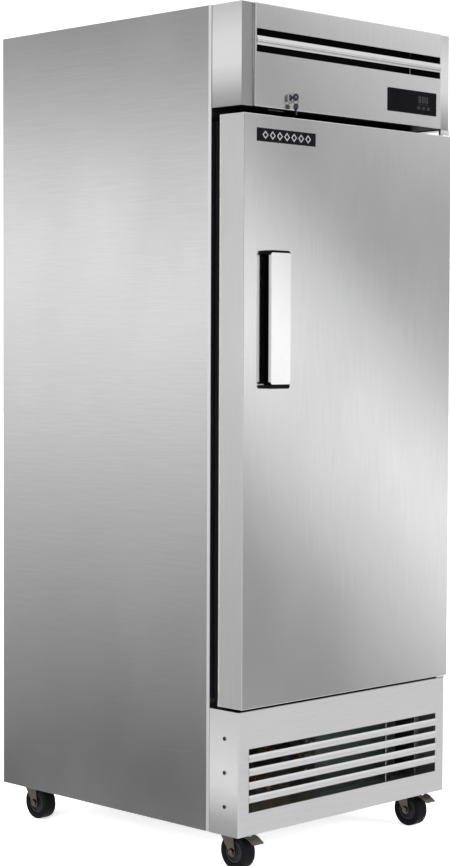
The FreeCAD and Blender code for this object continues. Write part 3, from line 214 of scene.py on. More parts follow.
class Shader:
    """One Principled material whose detail is worked out from Object coordinates."""

    def __init__(self, name, color, roughness, metallic=0.0, **sockets):
        self.material = bpy.data.materials.new(name)
        self.material.use_nodes = True
        self.tree = self.material.node_tree
        self.bsdf = self.tree.nodes["Principled BSDF"]
        self.bsdf.inputs["Base Color"].default_value = (*color, 1)
        self.bsdf.inputs["Roughness"].default_value = roughness
        self.bsdf.inputs["Metallic"].default_value = metallic
        for socket, value in sockets.items():
            self.bsdf.inputs[socket.replace("_", " ")].default_value = value
        self.color, self.roughness = color, roughness
        self.last_bump = None

    def add(self, kind, **values):
        node = self.tree.nodes.new(kind)
        for key, value in values.items():
            if key in node.inputs:
                node.inputs[key].default_value = value
            else:
                setattr(node, key, value)
        return node

    def link(self, out, into):
        self.tree.links.new(out, into)

    def noise(self, scale, stretch=(1, 1, 1), detail=4.0, turn=(0, 0, 0)):
        """Noise on Object coordinates; a stretch below 1 draws it out along that axis."""
        place = self.add("ShaderNodeTexCoord")
        mapping = self.add("ShaderNodeMapping")
        mapping.inputs["Scale"].default_value = stretch
        mapping.inputs["Rotation"].default_value = turn
        noise = self.add("ShaderNodeTexNoise", Scale=scale, Detail=detail)
        self.link(place.outputs["Object"], mapping.inputs["Vector"])
        self.link(mapping.outputs["Vector"], noise.inputs["Vector"])
        return noise.outputs["Fac"]

    def spread(self, value, low, high, start=0.3, end=0.7):
        ranged = self.add("ShaderNodeMapRange")
        for socket, number in zip(("From Min", "From Max", "To Min", "To Max"), (start, end, low, high)):
            ranged.inputs[socket].default_value = number
        self.link(value, ranged.inputs["Value"])
        return ranged.outputs["Result"]

    def tone(self, value, low, high, start=0.3, end=0.7):
        """Let the colour wander between two shares of itself."""
        ramp = self.add("ShaderNodeValToRGB")
        ramp.color_ramp.elements[0].position, ramp.color_ramp.elements[1].position = start, end
        ramp.color_ramp.elements[0].color = (*[c * low for c in self.color], 1)
        ramp.color_ramp.elements[1].color = (*[min(c * high, 1) for c in self.color], 1)
        self.link(value, ramp.inputs["Fac"])
        self.link(ramp.outputs["Color"], self.bsdf.inputs["Base Color"])
        return self

    def rough(self, value, low, high):
        self.link(self.spread(value, low, high), self.bsdf.inputs["Roughness"])
        return self

    def bump(self, value, strength, distance):
        node = self.add("ShaderNodeBump", Strength=strength, Distance=distance)
        self.link(value, node.inputs["Height"])
        if self.last_bump:
            self.link(self.last_bump.outputs["Normal"], node.inputs["Normal"])
        self.last_bump = node
        self.link(node.outputs["Normal"], self.bsdf.inputs["Normal"])
        return self


# %% Metals

GRAIN_UP = (1.0, 1.0, 0.012)      # scratches run up and down
GRAIN_ACROSS = (0.012, 1.0, 1.0)  # scratches run across
GRAIN_BACK = (1.0, 0.012, 1.0)    # scratches run from front to back


def brushed(name, color, roughness, grain, sway, swing=0.05):
    """Brushed sheet: fine scratches along the grain, and a slow sway in the sheet itself."""
    shader = Shader(name, color, roughness, metallic=1.0)
    scratches = shader.noise(900.0, grain, detail=6.0)
    haze = shader.noise(3.2, (1, 1, 0.6), detail=3.0)
    shader.tone(scratches, 0.95, 1.03)
    shader.rough(haze, roughness - swing, roughness + swing)
    shader.bump(shader.noise(2.4, (1, 1, 0.8), detail=1.0), sway, 0.02)
    shader.bump(scratches, 0.03, 0.0004)
    return shader.material


def shaded_by_height(name, grain, roughness, low, high, greys):
    """Brushed sheet with its shading in its colour: greys runs from its foot to its head.

    The shade is part of the sheet and stays the same from every side, whatever the light does."""
    shader = Shader(name, (greys[-1],) * 3, roughness, metallic=1.0)
    scratches = shader.noise(900.0, grain, detail=6.0)
    place = shader.add("ShaderNodeTexCoord")
    parts = shader.add("ShaderNodeSeparateXYZ")
    shader.link(place.outputs["Object"], parts.inputs["Vector"])
    share = shader.spread(parts.outputs["Z"], 0.0, 1.0, start=low, end=high)
    grainy = shader.add("ShaderNodeMath", operation="MULTIPLY_ADD")
    grainy.inputs[1].default_value = 0.06
    shader.link(scratches, grainy.inputs[0])
    shader.link(share, grainy.inputs[2])
    ramp = shader.add("ShaderNodeValToRGB")
    while len(ramp.color_ramp.elements) < len(greys):
        ramp.color_ramp.elements.new(0.5)
    for number, (element, grey) in enumerate(zip(ramp.color_ramp.elements, greys)):
        element.position = number / (len(greys) - 1)
        element.color = (grey, grey, grey * 1.005, 1)
    shader.link(grainy.outputs["Value"], ramp.inputs["Fac"])
    shader.link(ramp.outputs["Color"], shader.bsdf.inputs["Base Color"])
    shader.rough(shader.noise(3.2, detail=3.0), roughness - 0.05, roughness + 0.05)
    shader.bump(scratches, 0.03, 0.0004)
    return shader.material


def cast_or_plated(name, color, roughness, grain_size, strength, wear=0.15):
    """Plated or painted metal with a fine skin."""
    shader = Shader(name, color, roughness, metallic=1.0)
    skin = shader.noise(grain_size, detail=5.0)
    shader.tone(skin, 1 - wear, 1 + wear)
    shader.rough(skin, roughness * 0.8, roughness * 1.3)
    shader.bump(skin, strength, 0.0006)
    return shader.material


door_steel = brushed("door_steel", (0.72, 0.72, 0.725), 0.15, GRAIN_UP, 0.012, swing=0.02)
side_steel = brushed("side_steel", (0.56, 0.56, 0.565), 0.19, GRAIN_BACK, 0.010, swing=0.03)
# A darker steel: on the header's left strip it is painted shade; the grille's strut is made of it too.
strip_steel = brushed("strip_steel", (0.38, 0.38, 0.385), 0.25, GRAIN_UP, 0.010)
# Painted shade: a darker copy of the door's steel, for the door's edge on the handle side.
shaded_edge_steel = brushed("shaded_edge_steel", (0.64, 0.64, 0.645), 0.34, GRAIN_UP, 0.012)
front_steel = brushed("front_steel", (0.80, 0.80, 0.805), 0.42, GRAIN_ACROSS, 0.015)
# Painted highlight: a bright steel for the side panels' hems, brighter than the sheet they are folded from.
hem_highlight_steel = brushed("hem_highlight_steel", (0.86, 0.86, 0.865), 0.40, GRAIN_UP, 0.015)
plain_steel = brushed("plain_steel", (0.45, 0.46, 0.47), 0.45, GRAIN_UP, 0.04)
liner_metal = brushed("liner_metal", (0.74, 0.75, 0.76), 0.38, GRAIN_ACROSS, 0.03)
bright_steel = cast_or_plated("bright_steel", (0.90, 0.90, 0.905), 0.14, 500.0, 0.01, wear=0.02)
key_nickel = cast_or_plated("key_nickel", (0.10, 0.10, 0.13), 0.25, 600.0, 0.02, wear=0.05)
plug_nickel = cast_or_plated("plug_nickel", (0.45, 0.45, 0.47), 0.2, 600.0, 0.02, wear=0.05)
zinc_plate = cast_or_plated("zinc_plate", (0.17, 0.155, 0.125), 0.42, 380.0, 0.12)
fin_metal = cast_or_plated("fin_metal", (0.50, 0.60, 0.58), 0.35, 300.0, 0.05)
copper_pipe = cast_or_plated("copper_pipe", (0.62, 0.30, 0.17), 0.28, 200.0, 0.03)

# %% Plastics, rubber and paint


def moulded(name, color, roughness, pebble=700.0, strength=0.12, **sockets):
    """Plastic, rubber or paint: an even colour with a fine pebble and a few rubbed patches."""
    shader = Shader(name, color, roughness, **sockets)
    shader.tone(shader.noise(22.0, detail=5.0), 0.82, 1.15)
    shader.rough(shader.noise(9.0, detail=4.0), roughness - 0.06, roughness + 0.1)
    shader.bump(shader.noise(pebble, detail=3.0), strength, 0.0004)
    return shader.material


DULL = {"Specular_IOR_Level": 0.03}
black_moulding = moulded("black_moulding", (0.0025, 0.0025, 0.003), 0.38, 900.0, 0.1, **DULL)
seal_rubber = moulded("seal_rubber", (0.003, 0.003, 0.004), 0.62, 500.0, 0.1, **DULL)
tyre_rubber = moulded("tyre_rubber", (0.003, 0.003, 0.0035), 0.5, 420.0, 0.2, Specular_IOR_Level=0.07)
hub_plastic = moulded("hub_plastic", (0.012, 0.012, 0.014), 0.42, 500.0, 0.1, Specular_IOR_Level=0.12)
display_gloss = moulded("display_gloss", (0.002, 0.002, 0.0025), 0.09, 300.0, 0.0, **DULL)
badge_paint = moulded("badge_paint", (0.003, 0.003, 0.0035), 0.25, 800.0, 0.05, **DULL)
button_plastic = moulded("button_plastic", (0.012, 0.012, 0.014), 0.4, 800.0, 0.1, **DULL)
display_mark = moulded("display_mark", (0.035, 0.035, 0.04), 0.4, 800.0, 0.0, **DULL)
breaker_plastic = moulded("breaker_plastic", (0.30, 0.305, 0.31), 0.42, 600.0, 0.05)
bush_plastic = moulded("bush_plastic", (0.62, 0.62, 0.60), 0.4, 600.0, 0.05)
lamp_cover = moulded("lamp_cover", (0.86, 0.86, 0.80), 0.3, 400.0, 0.03, Emission_Color=(1, 0.97, 0.9, 1),
                     Emission_Strength=0.6)
shelf_epoxy = moulded("shelf_epoxy", (0.40, 0.405, 0.41), 0.34, 350.0, 0.06, Coat_Weight=0.4)
black_paint = moulded("black_paint", (0.010, 0.010, 0.011), 0.36, 160.0, 0.1, Coat_Weight=0.3)
foam_yellow = moulded("foam_yellow", (0.74, 0.62, 0.36), 0.85, 260.0, 0.6)

FINISHES = {
    "stainless": front_steel, "side_sheet": side_steel, "key_nickel": key_nickel,
    "polished_steel": bright_steel, "galvanised": plain_steel,
    "liner_aluminium": liner_metal, "coil_fins": fin_metal, "foam": foam_yellow,
    "breaker_plastic": breaker_plastic, "gasket_rubber": seal_rubber, "black_plastic": black_moulding,
    "display_gloss": display_gloss, "badge_black": badge_paint, "button_grey": button_plastic,
    "compressor_paint": black_paint, "copper": copper_pipe, "lamp_diffuser": lamp_cover,
    "shelf_coating": shelf_epoxy, "bush_plastic": bush_plastic, "caster_zinc": zinc_plate,
    "caster_tyre": tyre_rubber,
}
for name, node in nodes.items():
    node.data.materials.clear()
    node.data.materials.append(FINISHES[slot_of[name]])
print(len(bpy.data.materials), "finishes; every CAD node has one")

# %% [markdown]
# ## The door's outer pan
# The door is one stainless sheet folded into a shallow pan and filled with foam. Its folds are tight
# bends of about two millimetres, which catch a fine line of light. It is modelled as a box whose front
# edges are bevelled, whose back is taken off and whose wall is then thickened inwards.

# %% A folded pan of sheet


def folded(name, low, high, is_open, fold=2 * MM, sheet=1 * MM, segments=4):
    """A box with rounded folds, open on the faces whose normal passes is_open, one sheet thick."""
    piece = soften(block(name, low, high), fold, segments, angle=60)
    choose(piece, "FACE", lambda middle, normal: is_open(normal))
    bpy.ops.mesh.delete(type="FACE")
    done(piece)
    return apply_modifier(piece, "SOLIDIFY", thickness=sheet, offset=-1.0, use_even_offset=True)


def round_along(piece, axis, radius, segments=6, test=lambda middle: True):
    """Round the edges that run along one axis."""
    choose(piece, "EDGE", lambda middle, along: abs(along.dot(Vector(axis))) > 0.99 and test(middle))
    bpy.ops.mesh.bevel(offset=radius, segments=segments, affect="EDGES")
    return done(piece)


door_low, door_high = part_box("door_skin")
grip_low, grip_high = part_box("handle_grip")
bracket_low, bracket_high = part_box("handle_bracket")
door = folded("door_pan", door_low, door_high, lambda n: n.y > 0.99)
pocket = block("pocket", (bracket_low.x, door_low.y - 5 * MM, bracket_low.z + 4 * MM),
               (bracket_high.x, bracket_high.y, bracket_high.z - 4 * MM))
bush_low, bush_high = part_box("hinge_bushes")
hinge_x, hinge_y = (bush_low.x + bush_high.x) / 2, (bush_low.y + bush_high.y) / 2
pivot = rod("pivot", (hinge_x, hinge_y, door_low.z - 0.01), (hinge_x, hinge_y, door_high.z + 0.01), 8 * MM)
lock_low, lock_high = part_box("lock_housing")
lock_x, lock_z = (lock_low.x + lock_high.x) / 2, (lock_low.z + lock_high.z) / 2
HALF_SLOT = 10 * MM


def cam_path(left, z_low, z_high):
    """The room that the lock's cam sweeps, from so far left of the lock and between two heights."""
    return block("cam_path", (lock_x - left, lock_high.y - 1.6 * MM, z_low),
                 (lock_x + 8.5 * MM, lock_high.y + 4.9 * MM, z_high))


cut(door, pocket, pivot, cam_path(32 * MM, door_high.z - HALF_SLOT, door_high.z + HALF_SLOT))
finish(smooth(door), door_steel, "door_skin")
# The edge on the handle side gets a rougher finish than the front, and a darker colour which is painted shade
# on the same sheet.
door.data.materials.append(shaded_edge_steel)
for face in door.data.polygons:
    if face.normal.x < -0.9:
        face.material_index = 1

print("door pan", len(door.data.polygons), "faces")

# %% [markdown]
# ## The inner door panel and the seal
# The back of the door is a formed aluminium sheet with a raised middle. Round its edge a black
# magnetic seal closes on the cabinet: a soft bellows with two lips, seen from outside as a dark band.

# %% Inner panel with a soft raised middle

inner_low, inner_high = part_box("door_inner_panel")
PLATE = 2 * MM
RAISED_INSET = 67 * MM
inner = block("inner_door", inner_low, (inner_high.x, inner_low.y + PLATE, inner_high.z))
raised = block("raised", (inner_low.x + RAISED_INSET, inner_low.y, inner_low.z + 56 * MM),
               (inner_high.x - RAISED_INSET, inner_high.y, inner_high.z - 56 * MM))
round_along(raised, (0, 1, 0), 8 * MM)
soften(raised, 4 * MM, 4, angle=60)
inner = join("inner_door", [soften(inner, 0.8 * MM), raised])
finish(smooth(inner), liner_metal, "door_inner_panel")

# %% The seal


def ring_of(name, low, high, width):
    """A rectangular frame in the plane of the door, hollow in the middle."""
    hole = block("hole", (low.x + width, low.y - 0.05, low.z + width),
                 (high.x - width, high.y + 0.05, high.z - width))
    return cut(block(name, low, high), hole)


seal_low, seal_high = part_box("door_gasket")
seal = ring_of("seal", seal_low, seal_high, 24 * MM)
groove_y = (seal_low.y + seal_high.y) / 2
groove_inset = Vector((2.5 * MM, 0, 2.5 * MM))
groove_low, groove_high = Vector(seal_low) - groove_inset, Vector(seal_high) + groove_inset
groove_low.y, groove_high.y = groove_y - 2 * MM, groove_y + 2 * MM
cut(seal, ring_of("groove", groove_low, groove_high, 5.5 * MM))
finish(smooth(soften(seal, 1.2 * MM, 2)), seal_rubber, "door_gasket")
print("seal", len(seal.data.polygons), "faces")

# %% [markdown]
# ## Header and grille
# Above and below the door are boxes of folded sheet. Their slots are pressed in one stroke, which
# leaves crowned bars between them that shine along their upper half. The sheet's bends are rounder
# here, and the header's raised middle steps forward from a plain strip at each end.

# %% Crowned bars


def crowned_bar(name, x, z, face_y, crown):
    """The front segment of a wide cylinder: flat behind, bulging forward by the crown."""
    half = (z[1] - z[0]) / 2
    radius = (half ** 2 + crown ** 2) / (2 * crown)
    middle = (z[0] + z[1]) / 2
    y = face_y - crown + radius
    bar = rod(name, (x[0], y, middle), (x[1], y, middle), radius, sides=128)
    only(bar)
    bpy.ops.object.mode_set(mode="EDIT")
    bpy.ops.mesh.select_all(action="SELECT")
    bpy.ops.mesh.bisect(plane_co=(0, face_y + 0.4 * MM, 0), plane_no=(0, 1, 0), use_fill=True,
                        clear_outer=True)
    return done(bar)


def slotted(panel, x_half, face_y, highs, lows, crown=3 * MM):
    """Stand bars in the window from the first slot's top to the last slot's bottom."""
    soften(panel, 0.4 * MM, 2)
    bars = [crowned_bar("bar", (-x_half, x_half), (high, low), face_y, crown)
            for low, high in zip(lows[:-1], highs[1:])]
    return join(panel.name, [panel] + bars)


header_low, header_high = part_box("header_panel")
cheek_low, cheek_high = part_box("header_cheeks")
HEADER_FACE = header_low.y + 3 * MM
header = folded("header", (header_low.x, HEADER_FACE, header_low.z), header_high, lambda n: n.y > 0.99,
                fold=2.5 * MM)
case_low, case_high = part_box("controller_case")
control_room = block("control_room", (case_low.x + 3 * MM, HEADER_FACE - 0.02, case_low.z + 3 * MM),
                     (case_high.x - 3 * MM, HEADER_FACE + 5 * MM, case_high.z - 3 * MM))
lock_room = rod("lock_room", (lock_x, HEADER_FACE - 0.02, lock_z), (lock_x, HEADER_FACE + 5 * MM, lock_z),
                11 * MM)
SLOT_HALF = 303 * MM       # half the length of the header's slots
CAM_REACH = 46 * MM        # how far left of the lock the cam's path begins
header_slot_tops = [z * MM for z in (1788, 1754.5)]
header_slot_bottoms = [z * MM for z in (1772.5, 1739)]
header_window = block("window", (-SLOT_HALF, HEADER_FACE - 0.02, header_slot_bottoms[-1]),
                      (SLOT_HALF, HEADER_FACE + 3 * MM, header_slot_tops[0]))
cut(header, header_window, control_room, lock_room,
    cam_path(CAM_REACH, header_low.z - 5 * MM, header_low.z + 3 * MM))
header = slotted(header, SLOT_HALF, HEADER_FACE, header_slot_tops, header_slot_bottoms)
finish(smooth(header, 30), door_steel, "header_panel")

# %% Header cheeks

STRIP = 36 * MM
cheeks = []
for side in (-1, 1):
    inner_x = side * (cheek_high.x - STRIP)
    low_x, high_x = sorted((inner_x, side * cheek_high.x))
    cheek = folded("cheek", (low_x, cheek_low.y, cheek_low.z), (high_x, cheek_high.y, cheek_high.z),
                   lambda n, side=side: (n.y > 0.99 or n.x * side < -0.99
                                         or (n.y > 0.05 and n.x * side < -0.05)), fold=2 * MM)
    cheeks.append(cheek)
header_sides = join("header_sides", cheeks)
# Painted shade and highlight: the cheeks' grey is dark at the foot, brightest above the middle and dimmer at
# the head, standing in for how the light falls on them.
upper_cheek_painted_light = shaded_by_height("upper_cheek_painted_light", GRAIN_UP, 0.40, cheek_low.z, cheek_high.z,
                                     (0.36, 0.50, 0.72, 0.88, 0.90, 0.88, 0.80, 0.70))
finish(smooth(header_sides, 30), upper_cheek_painted_light, "header_cheeks")
# The left strip's front gets a darker steel than the cheek beside it: painted shade, as the right strip keeps
# the cheek's colour.
header_sides.data.materials.append(strip_steel)
for face in header_sides.data.polygons:
    if face.normal.y < -0.9 and face.center.x < 0:
        face.material_index = 1

# %% [markdown]
# Three black strips lie in the joints round the door: under the header, on the cabinet's face above
# the seal and on the grille box. They have no solid of their own in the frame. They are painted shade:
# dark sheets put in the gaps so that the gaps read as dark lines, and whether the real object has such
# strips isn't known.

# %% Black strips of painted shade

bracket_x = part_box("hinge_bracket_top")[0].x - 1 * MM
SHADE_STRIP_THICK = 0.8 * MM
left_x = cheek_low.x + 1.5 * MM
under_header = block("under_header", (left_x, cheek_low.y + 1.5 * MM, header_low.z - SHADE_STRIP_THICK),
                     (bracket_x, cheek_high.y, header_low.z + 0.1 * MM))
over_seal = block("over_seal", (left_x, seal_high.y - 0.4 * MM, seal_high.z + 1 * MM),
                  (bracket_x, seal_high.y + 0.5 * MM, header_low.z - 0.5 * MM))
grille_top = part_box("grille_panel")[1].z
on_grille = block("on_grille", (left_x, cheek_low.y + 3 * MM, grille_top - 0.1 * MM),
                  (bracket_x, cheek_high.y, grille_top + SHADE_STRIP_THICK))
cut(under_header, cam_path(CAM_REACH, header_low.z - 5 * MM, header_low.z + 3 * MM))
gap_shade_strips = join("door_gap_shade_strips", [soften(strip, 0.25 * MM, 1) for strip in (under_header, over_seal, on_grille)])
dress(smooth(gap_shade_strips), black_moulding, "header_baffle")

# %% Grille panel

grille_low, grille_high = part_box("grille_panel")
GRILLE_FACE = grille_low.y + 3 * MM
TURN_BACK = 2.5 * MM
grille = folded("grille", (grille_low.x, GRILLE_FACE, grille_low.z),
                (grille_high.x, grille_high.y, grille_high.z),
                lambda n: n.y > 0.99 or n.z < -0.99 or (n.y > 0.05 and n.z < -0.05), fold=TURN_BACK)
grille_slot_tops = [z * MM for z in (268.5, 239.5, 210.5, 181.5, 152.5)]
grille_slot_bottoms = [z * MM for z in (255.0, 226.0, 197.0, 168.0, 131.5)]
GRILLE_HALF = 312 * MM     # half the length of the grille's slots
cut(grille, block("window", (-GRILLE_HALF, GRILLE_FACE - 0.02, grille_slot_bottoms[-1]),
                  (GRILLE_HALF, GRILLE_FACE + 3 * MM, grille_slot_tops[0])))
STRUT_X, HALF_STRUT = 137 * MM, 1.5 * MM
strut = soften(block("grille_strut", (STRUT_X - HALF_STRUT, GRILLE_FACE + 1.5 * MM, 112 * MM),
                     (STRUT_X + HALF_STRUT, GRILLE_FACE + 6 * MM, 280.5 * MM)), 0.6 * MM)
dress(smooth(strut), strip_steel, "grille_panel")
for side in (-1, 1):
    x_low, x_high = sorted((side * (grille_high.x + 0.01), side * (grille_high.x - 1.2 * MM)))
    cut(grille, block("trim", (x_low, GRILLE_FACE + TURN_BACK, grille_low.z - 0.01),
                      (x_high, 0, grille_high.z + 0.01)))
grille = slotted(grille, GRILLE_HALF, GRILLE_FACE, grille_slot_tops, grille_slot_bottoms)
finish(smooth(grille, 30), front_steel, "grille_panel")

# %% Grille cheeks, with a hole for each screw

side_low, side_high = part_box("grille_cheeks")
SCREW_PLACES = [(side_low.y + 41 * MM, z * MM) for z in (289.5, 216.5, 143.5)]
grille_sides = []
for x in (side_low.x, side_high.x - 1 * MM):
    sheet = block("sheet", (x, GRILLE_FACE + TURN_BACK, side_low.z), (x + 1 * MM, side_high.y, side_high.z))
    for y, z in SCREW_PLACES:
        cut(sheet, rod("hole", (x - 0.01, y, z), (x + 0.01, y, z), 2.1 * MM))
    grille_sides.append(soften(sheet, 0.3 * MM, 2))
grille_sides = join("grille_sides", grille_sides)
# Painted shade and highlight: the grey is dark at the foot and brightest about the middle, standing in for
# how the light falls on the grille's sides.
lower_cheek_painted_light = shaded_by_height("lower_cheek_painted_light", GRAIN_UP, 0.40, side_low.z, side_high.z,
                                     (0.50, 0.60, 0.85, 1.0, 1.0, 0.95, 0.90, 0.86))
finish(smooth(grille_sides, 30), lower_cheek_painted_light, "grille_cheeks")
print("header and grille", len(header.data.polygons) + len(grille.data.polygons), "faces")

# %% [markdown]
# ## Side panels
# Each side is one tall sheet. Beside the door boxes its front edge is hemmed: folded back on itself,
# which leaves a flat band slightly prouder than the sheet. The band is given a brighter steel than the
# sheet it is folded from, a painted highlight that makes the bright line where it ends.

# %% Side panels with a hemmed front edge

for node, side in (("side_panel_left", -1), ("side_panel_right", 1)):
    low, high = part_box(node)
    outer = low.x if side < 0 else high.x
    skin_x = sorted((outer, outer - side * 1 * MM))
    skin = soften(block("skin", (skin_x[0], low.y, low.z), (skin_x[1], high.y, high.z)), 0.4 * MM, 2)
    hem_x = sorted((outer - side * 0.2 * MM, outer + side * 0.5 * MM))
    hem = soften(block("hem", (hem_x[0], low.y + 0.2 * MM, low.z), (hem_x[1], low.y + 9 * MM, high.z)),
                 0.3 * MM, 2)
    flange_x = sorted((outer - side * 0.9 * MM, outer - side * 24 * MM))
    flange = soften(block("flange", (flange_x[0], low.y, 349.5 * MM), (flange_x[1], low.y + 1 * MM, high.z)),
                    0.3 * MM, 2)
    panel = join(node + "_sheet", [skin, flange])
    finish(smooth(panel, 30), side_steel, node)
    hem.name = node + "_hem"
    # The hem is folded from the side's own sheet, so its brighter steel is a painted highlight.
    dress(smooth(hem), hem_highlight_steel, node)

# %% [markdown]
# ## Handle
# A black moulding is sunk in the door. It has a cup for the fingers, an end cap above and below and a
# wall on the right, and a polished steel plate is fixed over it with its free edge turned in.

# %% Moulding

CAP, WALL, CORNER = 8 * MM, 2.5 * MM, 5 * MM
mould = block("mould", (bracket_low.x, bracket_low.y, bracket_low.z),
              (bracket_high.x, door_low.y + 0.2 * MM, bracket_high.z))
round_along(mould, (0, 1, 0), CORNER)
cup = block("cup_wall", (bracket_low.x, door_low.y, bracket_low.z + CAP / 2),
            (bracket_high.x, bracket_high.y, bracket_high.z - CAP / 2))
room = block("room", (bracket_low.x - 0.01, bracket_low.y - 0.01, bracket_low.z + CAP),
             (bracket_high.x - WALL, door_low.y + 0.3 * MM, bracket_high.z - CAP))
hollow = soften(block("hollow", (bracket_low.x + WALL, door_low.y - 3 * MM, bracket_low.z + CAP),
                      (bracket_high.x - WALL, bracket_high.y - WALL, bracket_high.z - CAP)), 2 * MM, 3)
mould = cut(mould, room)
cup = cut(cup, hollow)
mould = soften(join("handle_moulding", [mould, cup]), 0.6 * MM, 2)
finish(smooth(mould), black_moulding, "handle_bracket")

# %% Polished plate

SHOWN_BELOW, SHOWN_ABOVE = 9 * MM, 5 * MM     # how much of each end cap the plate leaves in sight
grip = block("grip", (grip_low.x, grip_low.y, grip_low.z + SHOWN_BELOW),
             (grip_high.x, grip_low.y + 2 * MM, grip_high.z - SHOWN_ABOVE))
round_along(grip, (0, 1, 0), CORNER)
lip = block("lip", (grip_low.x, grip_low.y + 1.2 * MM, grip_low.z + SHOWN_BELOW + CORNER),
            (grip_low.x + 2 * MM, grip_high.y, grip_high.z - SHOWN_ABOVE - CORNER))
grip = join("handle_plate", [soften(grip, 0.7 * MM, 3), soften(lip, 0.6 * MM, 2)])
finish(smooth(grip), bright_steel, "handle_grip")

# %% [markdown]
# ## Badge, controller and lock
# The badge is a small black plate with a raised rim and a plain row of lozenges. The controller is
# a glossy black front in a slim bezel: a faint three-figure display, a row of lamps and three keys.
# The lock is a plated barrel with its key in it, and a second key hangs from that one on a ring.

# %% Badge

badge_low, badge_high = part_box("door_badge")
badge = block("badge", badge_low, badge_high)
choose(badge, "FACE", lambda middle, normal: normal.y < -0.99)
bpy.ops.mesh.inset(thickness=1.6 * MM)
bpy.ops.mesh.extrude_region_move(TRANSFORM_OT_translate={"value": (0, 0.5 * MM, 0)})
done(badge)
finish(smooth(soften(badge, 0.25 * MM, 2)), badge_paint, "door_badge")

badge_x, badge_z = (badge_low.x + badge_high.x) / 2, (badge_low.z + badge_high.z) / 2
marks_here = []
for step in range(-3, 4):
    mark_at = Vector((badge_x + step * 22 * MM, badge_low.y + 0.7 * MM, badge_z))
    mark = rod("mark", mark_at, mark_at - Vector((0, 0.8 * MM, 0)), 9 * MM, 4)
    mark_hole = rod("mark_hole", mark_at + Vector((0, 0.01, 0)), mark_at - Vector((0, 0.01, 0)), 5.5 * MM, 4)
    marks_here.append(soften(cut(mark, mark_hole), 0.15 * MM, 1))
ornament = join("badge_ornament", marks_here)
dress(smooth(ornament), bright_steel, "door_badge")

# %% Controller: bezel, glossy front and buttons

bezel = block("bezel", case_low, (case_high.x, case_low.y + 2 * MM, case_high.z))
round_along(bezel, (0, 1, 0), 2 * MM)
bezel_hole = block("hole", (case_low.x + 3 * MM, case_low.y - 0.01, case_low.z + 3 * MM),
                   (case_high.x - 3 * MM, case_low.y + 0.01, case_high.z - 3 * MM))
case = folded("case", (case_low.x + 3 * MM, case_low.y + 1.8 * MM, case_low.z + 3 * MM),
              (case_high.x - 3 * MM, case_high.y, case_high.z - 3 * MM), lambda n: n.y < -0.99,
              fold=1.5 * MM,
              sheet=2 * MM)
bezel = join("controller_bezel", [soften(cut(bezel, bezel_hole), 0.4 * MM, 2), case])
finish(smooth(bezel), black_moulding, "controller_case")

lens_low, lens_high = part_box("controller_lens")
lens = block("controller_front", lens_low, lens_high)
buttons = {name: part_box("button_" + name) for name in ("set", "up", "down")}
for low, high in buttons.values():
    gap = Vector((0.3 * MM, 0, 0.3 * MM))
    hole = block("hole", Vector(low) - gap - Vector((0, 0.01, 0)), Vector(high) + gap + Vector((0, 0.01, 0)))
    cut(lens, round_along(hole, (0, 1, 0), 2 * MM, 4))
finish(smooth(soften(lens, 0.3 * MM, 2)), display_gloss, "controller_lens")

for name, (low, high) in buttons.items():
    key_cap = round_along(block("key_" + name, low, high), (0, 1, 0), 2 * MM, 5)
    choose(key_cap, "FACE", lambda middle, normal: normal.y < -0.99)
    bpy.ops.mesh.inset(thickness=1.0 * MM)
    bpy.ops.mesh.extrude_region_move(TRANSFORM_OT_translate={"value": (0, 0.4 * MM, 0)})
    done(key_cap)
    finish(smooth(soften(key_cap, 0.2 * MM, 2)), button_plastic, "button_" + name)

# %% Display figures and lamps, moulded a hair proud of the front

FIGURE_WIDE, FIGURE_TALL, STROKE = 7 * MM, 13 * MM, 1.3 * MM
front_y = lens_low.y - 0.15 * MM
SEGMENTS = [((0, 0), (1, 0)), ((0, 0.5), (1, 0.5)), ((0, 1), (1, 1)), ((0, 0), (0, 0.5)), ((0, 0.5), (0, 1)),
            ((1, 0), (1, 0.5)), ((1, 0.5), (1, 1))]
marks = []
for figure in range(3):
    left = lens_high.x - 60 * MM + figure * 12 * MM
    base = lens_low.z + 24 * MM
    for (ax, az), (bx, bz) in SEGMENTS:
        low = Vector((left + ax * FIGURE_WIDE, front_y, base + az * FIGURE_TALL))
        high = Vector((left + bx * FIGURE_WIDE, lens_low.y + 0.1 * MM, base + bz * FIGURE_TALL))
        thick = Vector((STROKE / 2 if ax == bx else -STROKE * 0.7, 0,
                        STROKE / 2 if az == bz else -STROKE * 0.7))
        marks.append(block("segment", low - thick, high + thick))
for lamp in range(5):
    x = lens_high.x - 60 * MM + lamp * 8 * MM
    marks.append(rod("lamp", (x, front_y, lens_low.z + 19 * MM),
                     (x, lens_low.y + 0.1 * MM, lens_low.z + 19 * MM), 0.9 * MM, 12))
display = soften(join("display_marks", marks), 0.1 * MM, 1)
dress(smooth(display), display_mark, "controller_lens")

# %% Lock barrel and plug

flange_y = lock_low.y
barrel = rod("barrel", (lock_x, flange_y + 2.5 * MM, lock_z), (lock_x, lock_high.y, lock_z), 11 * MM, 48)
flange = rod("flange", (lock_x, flange_y, lock_z), (lock_x, flange_y + 3 * MM, lock_z), 13 * MM, 64)
bore = rod("bore", (lock_x, flange_y - 0.01, lock_z), (lock_x, lock_high.y + 0.01, lock_z), 8.05 * MM, 48)
bore_two = copy_at(bore, "bore_two", (0, 0, 0))
barrel = join("lock_barrel", [cut(soften(flange, 1.2 * MM, 3), bore), cut(barrel, bore_two)])
finish(smooth(barrel), plug_nickel, "lock_housing")

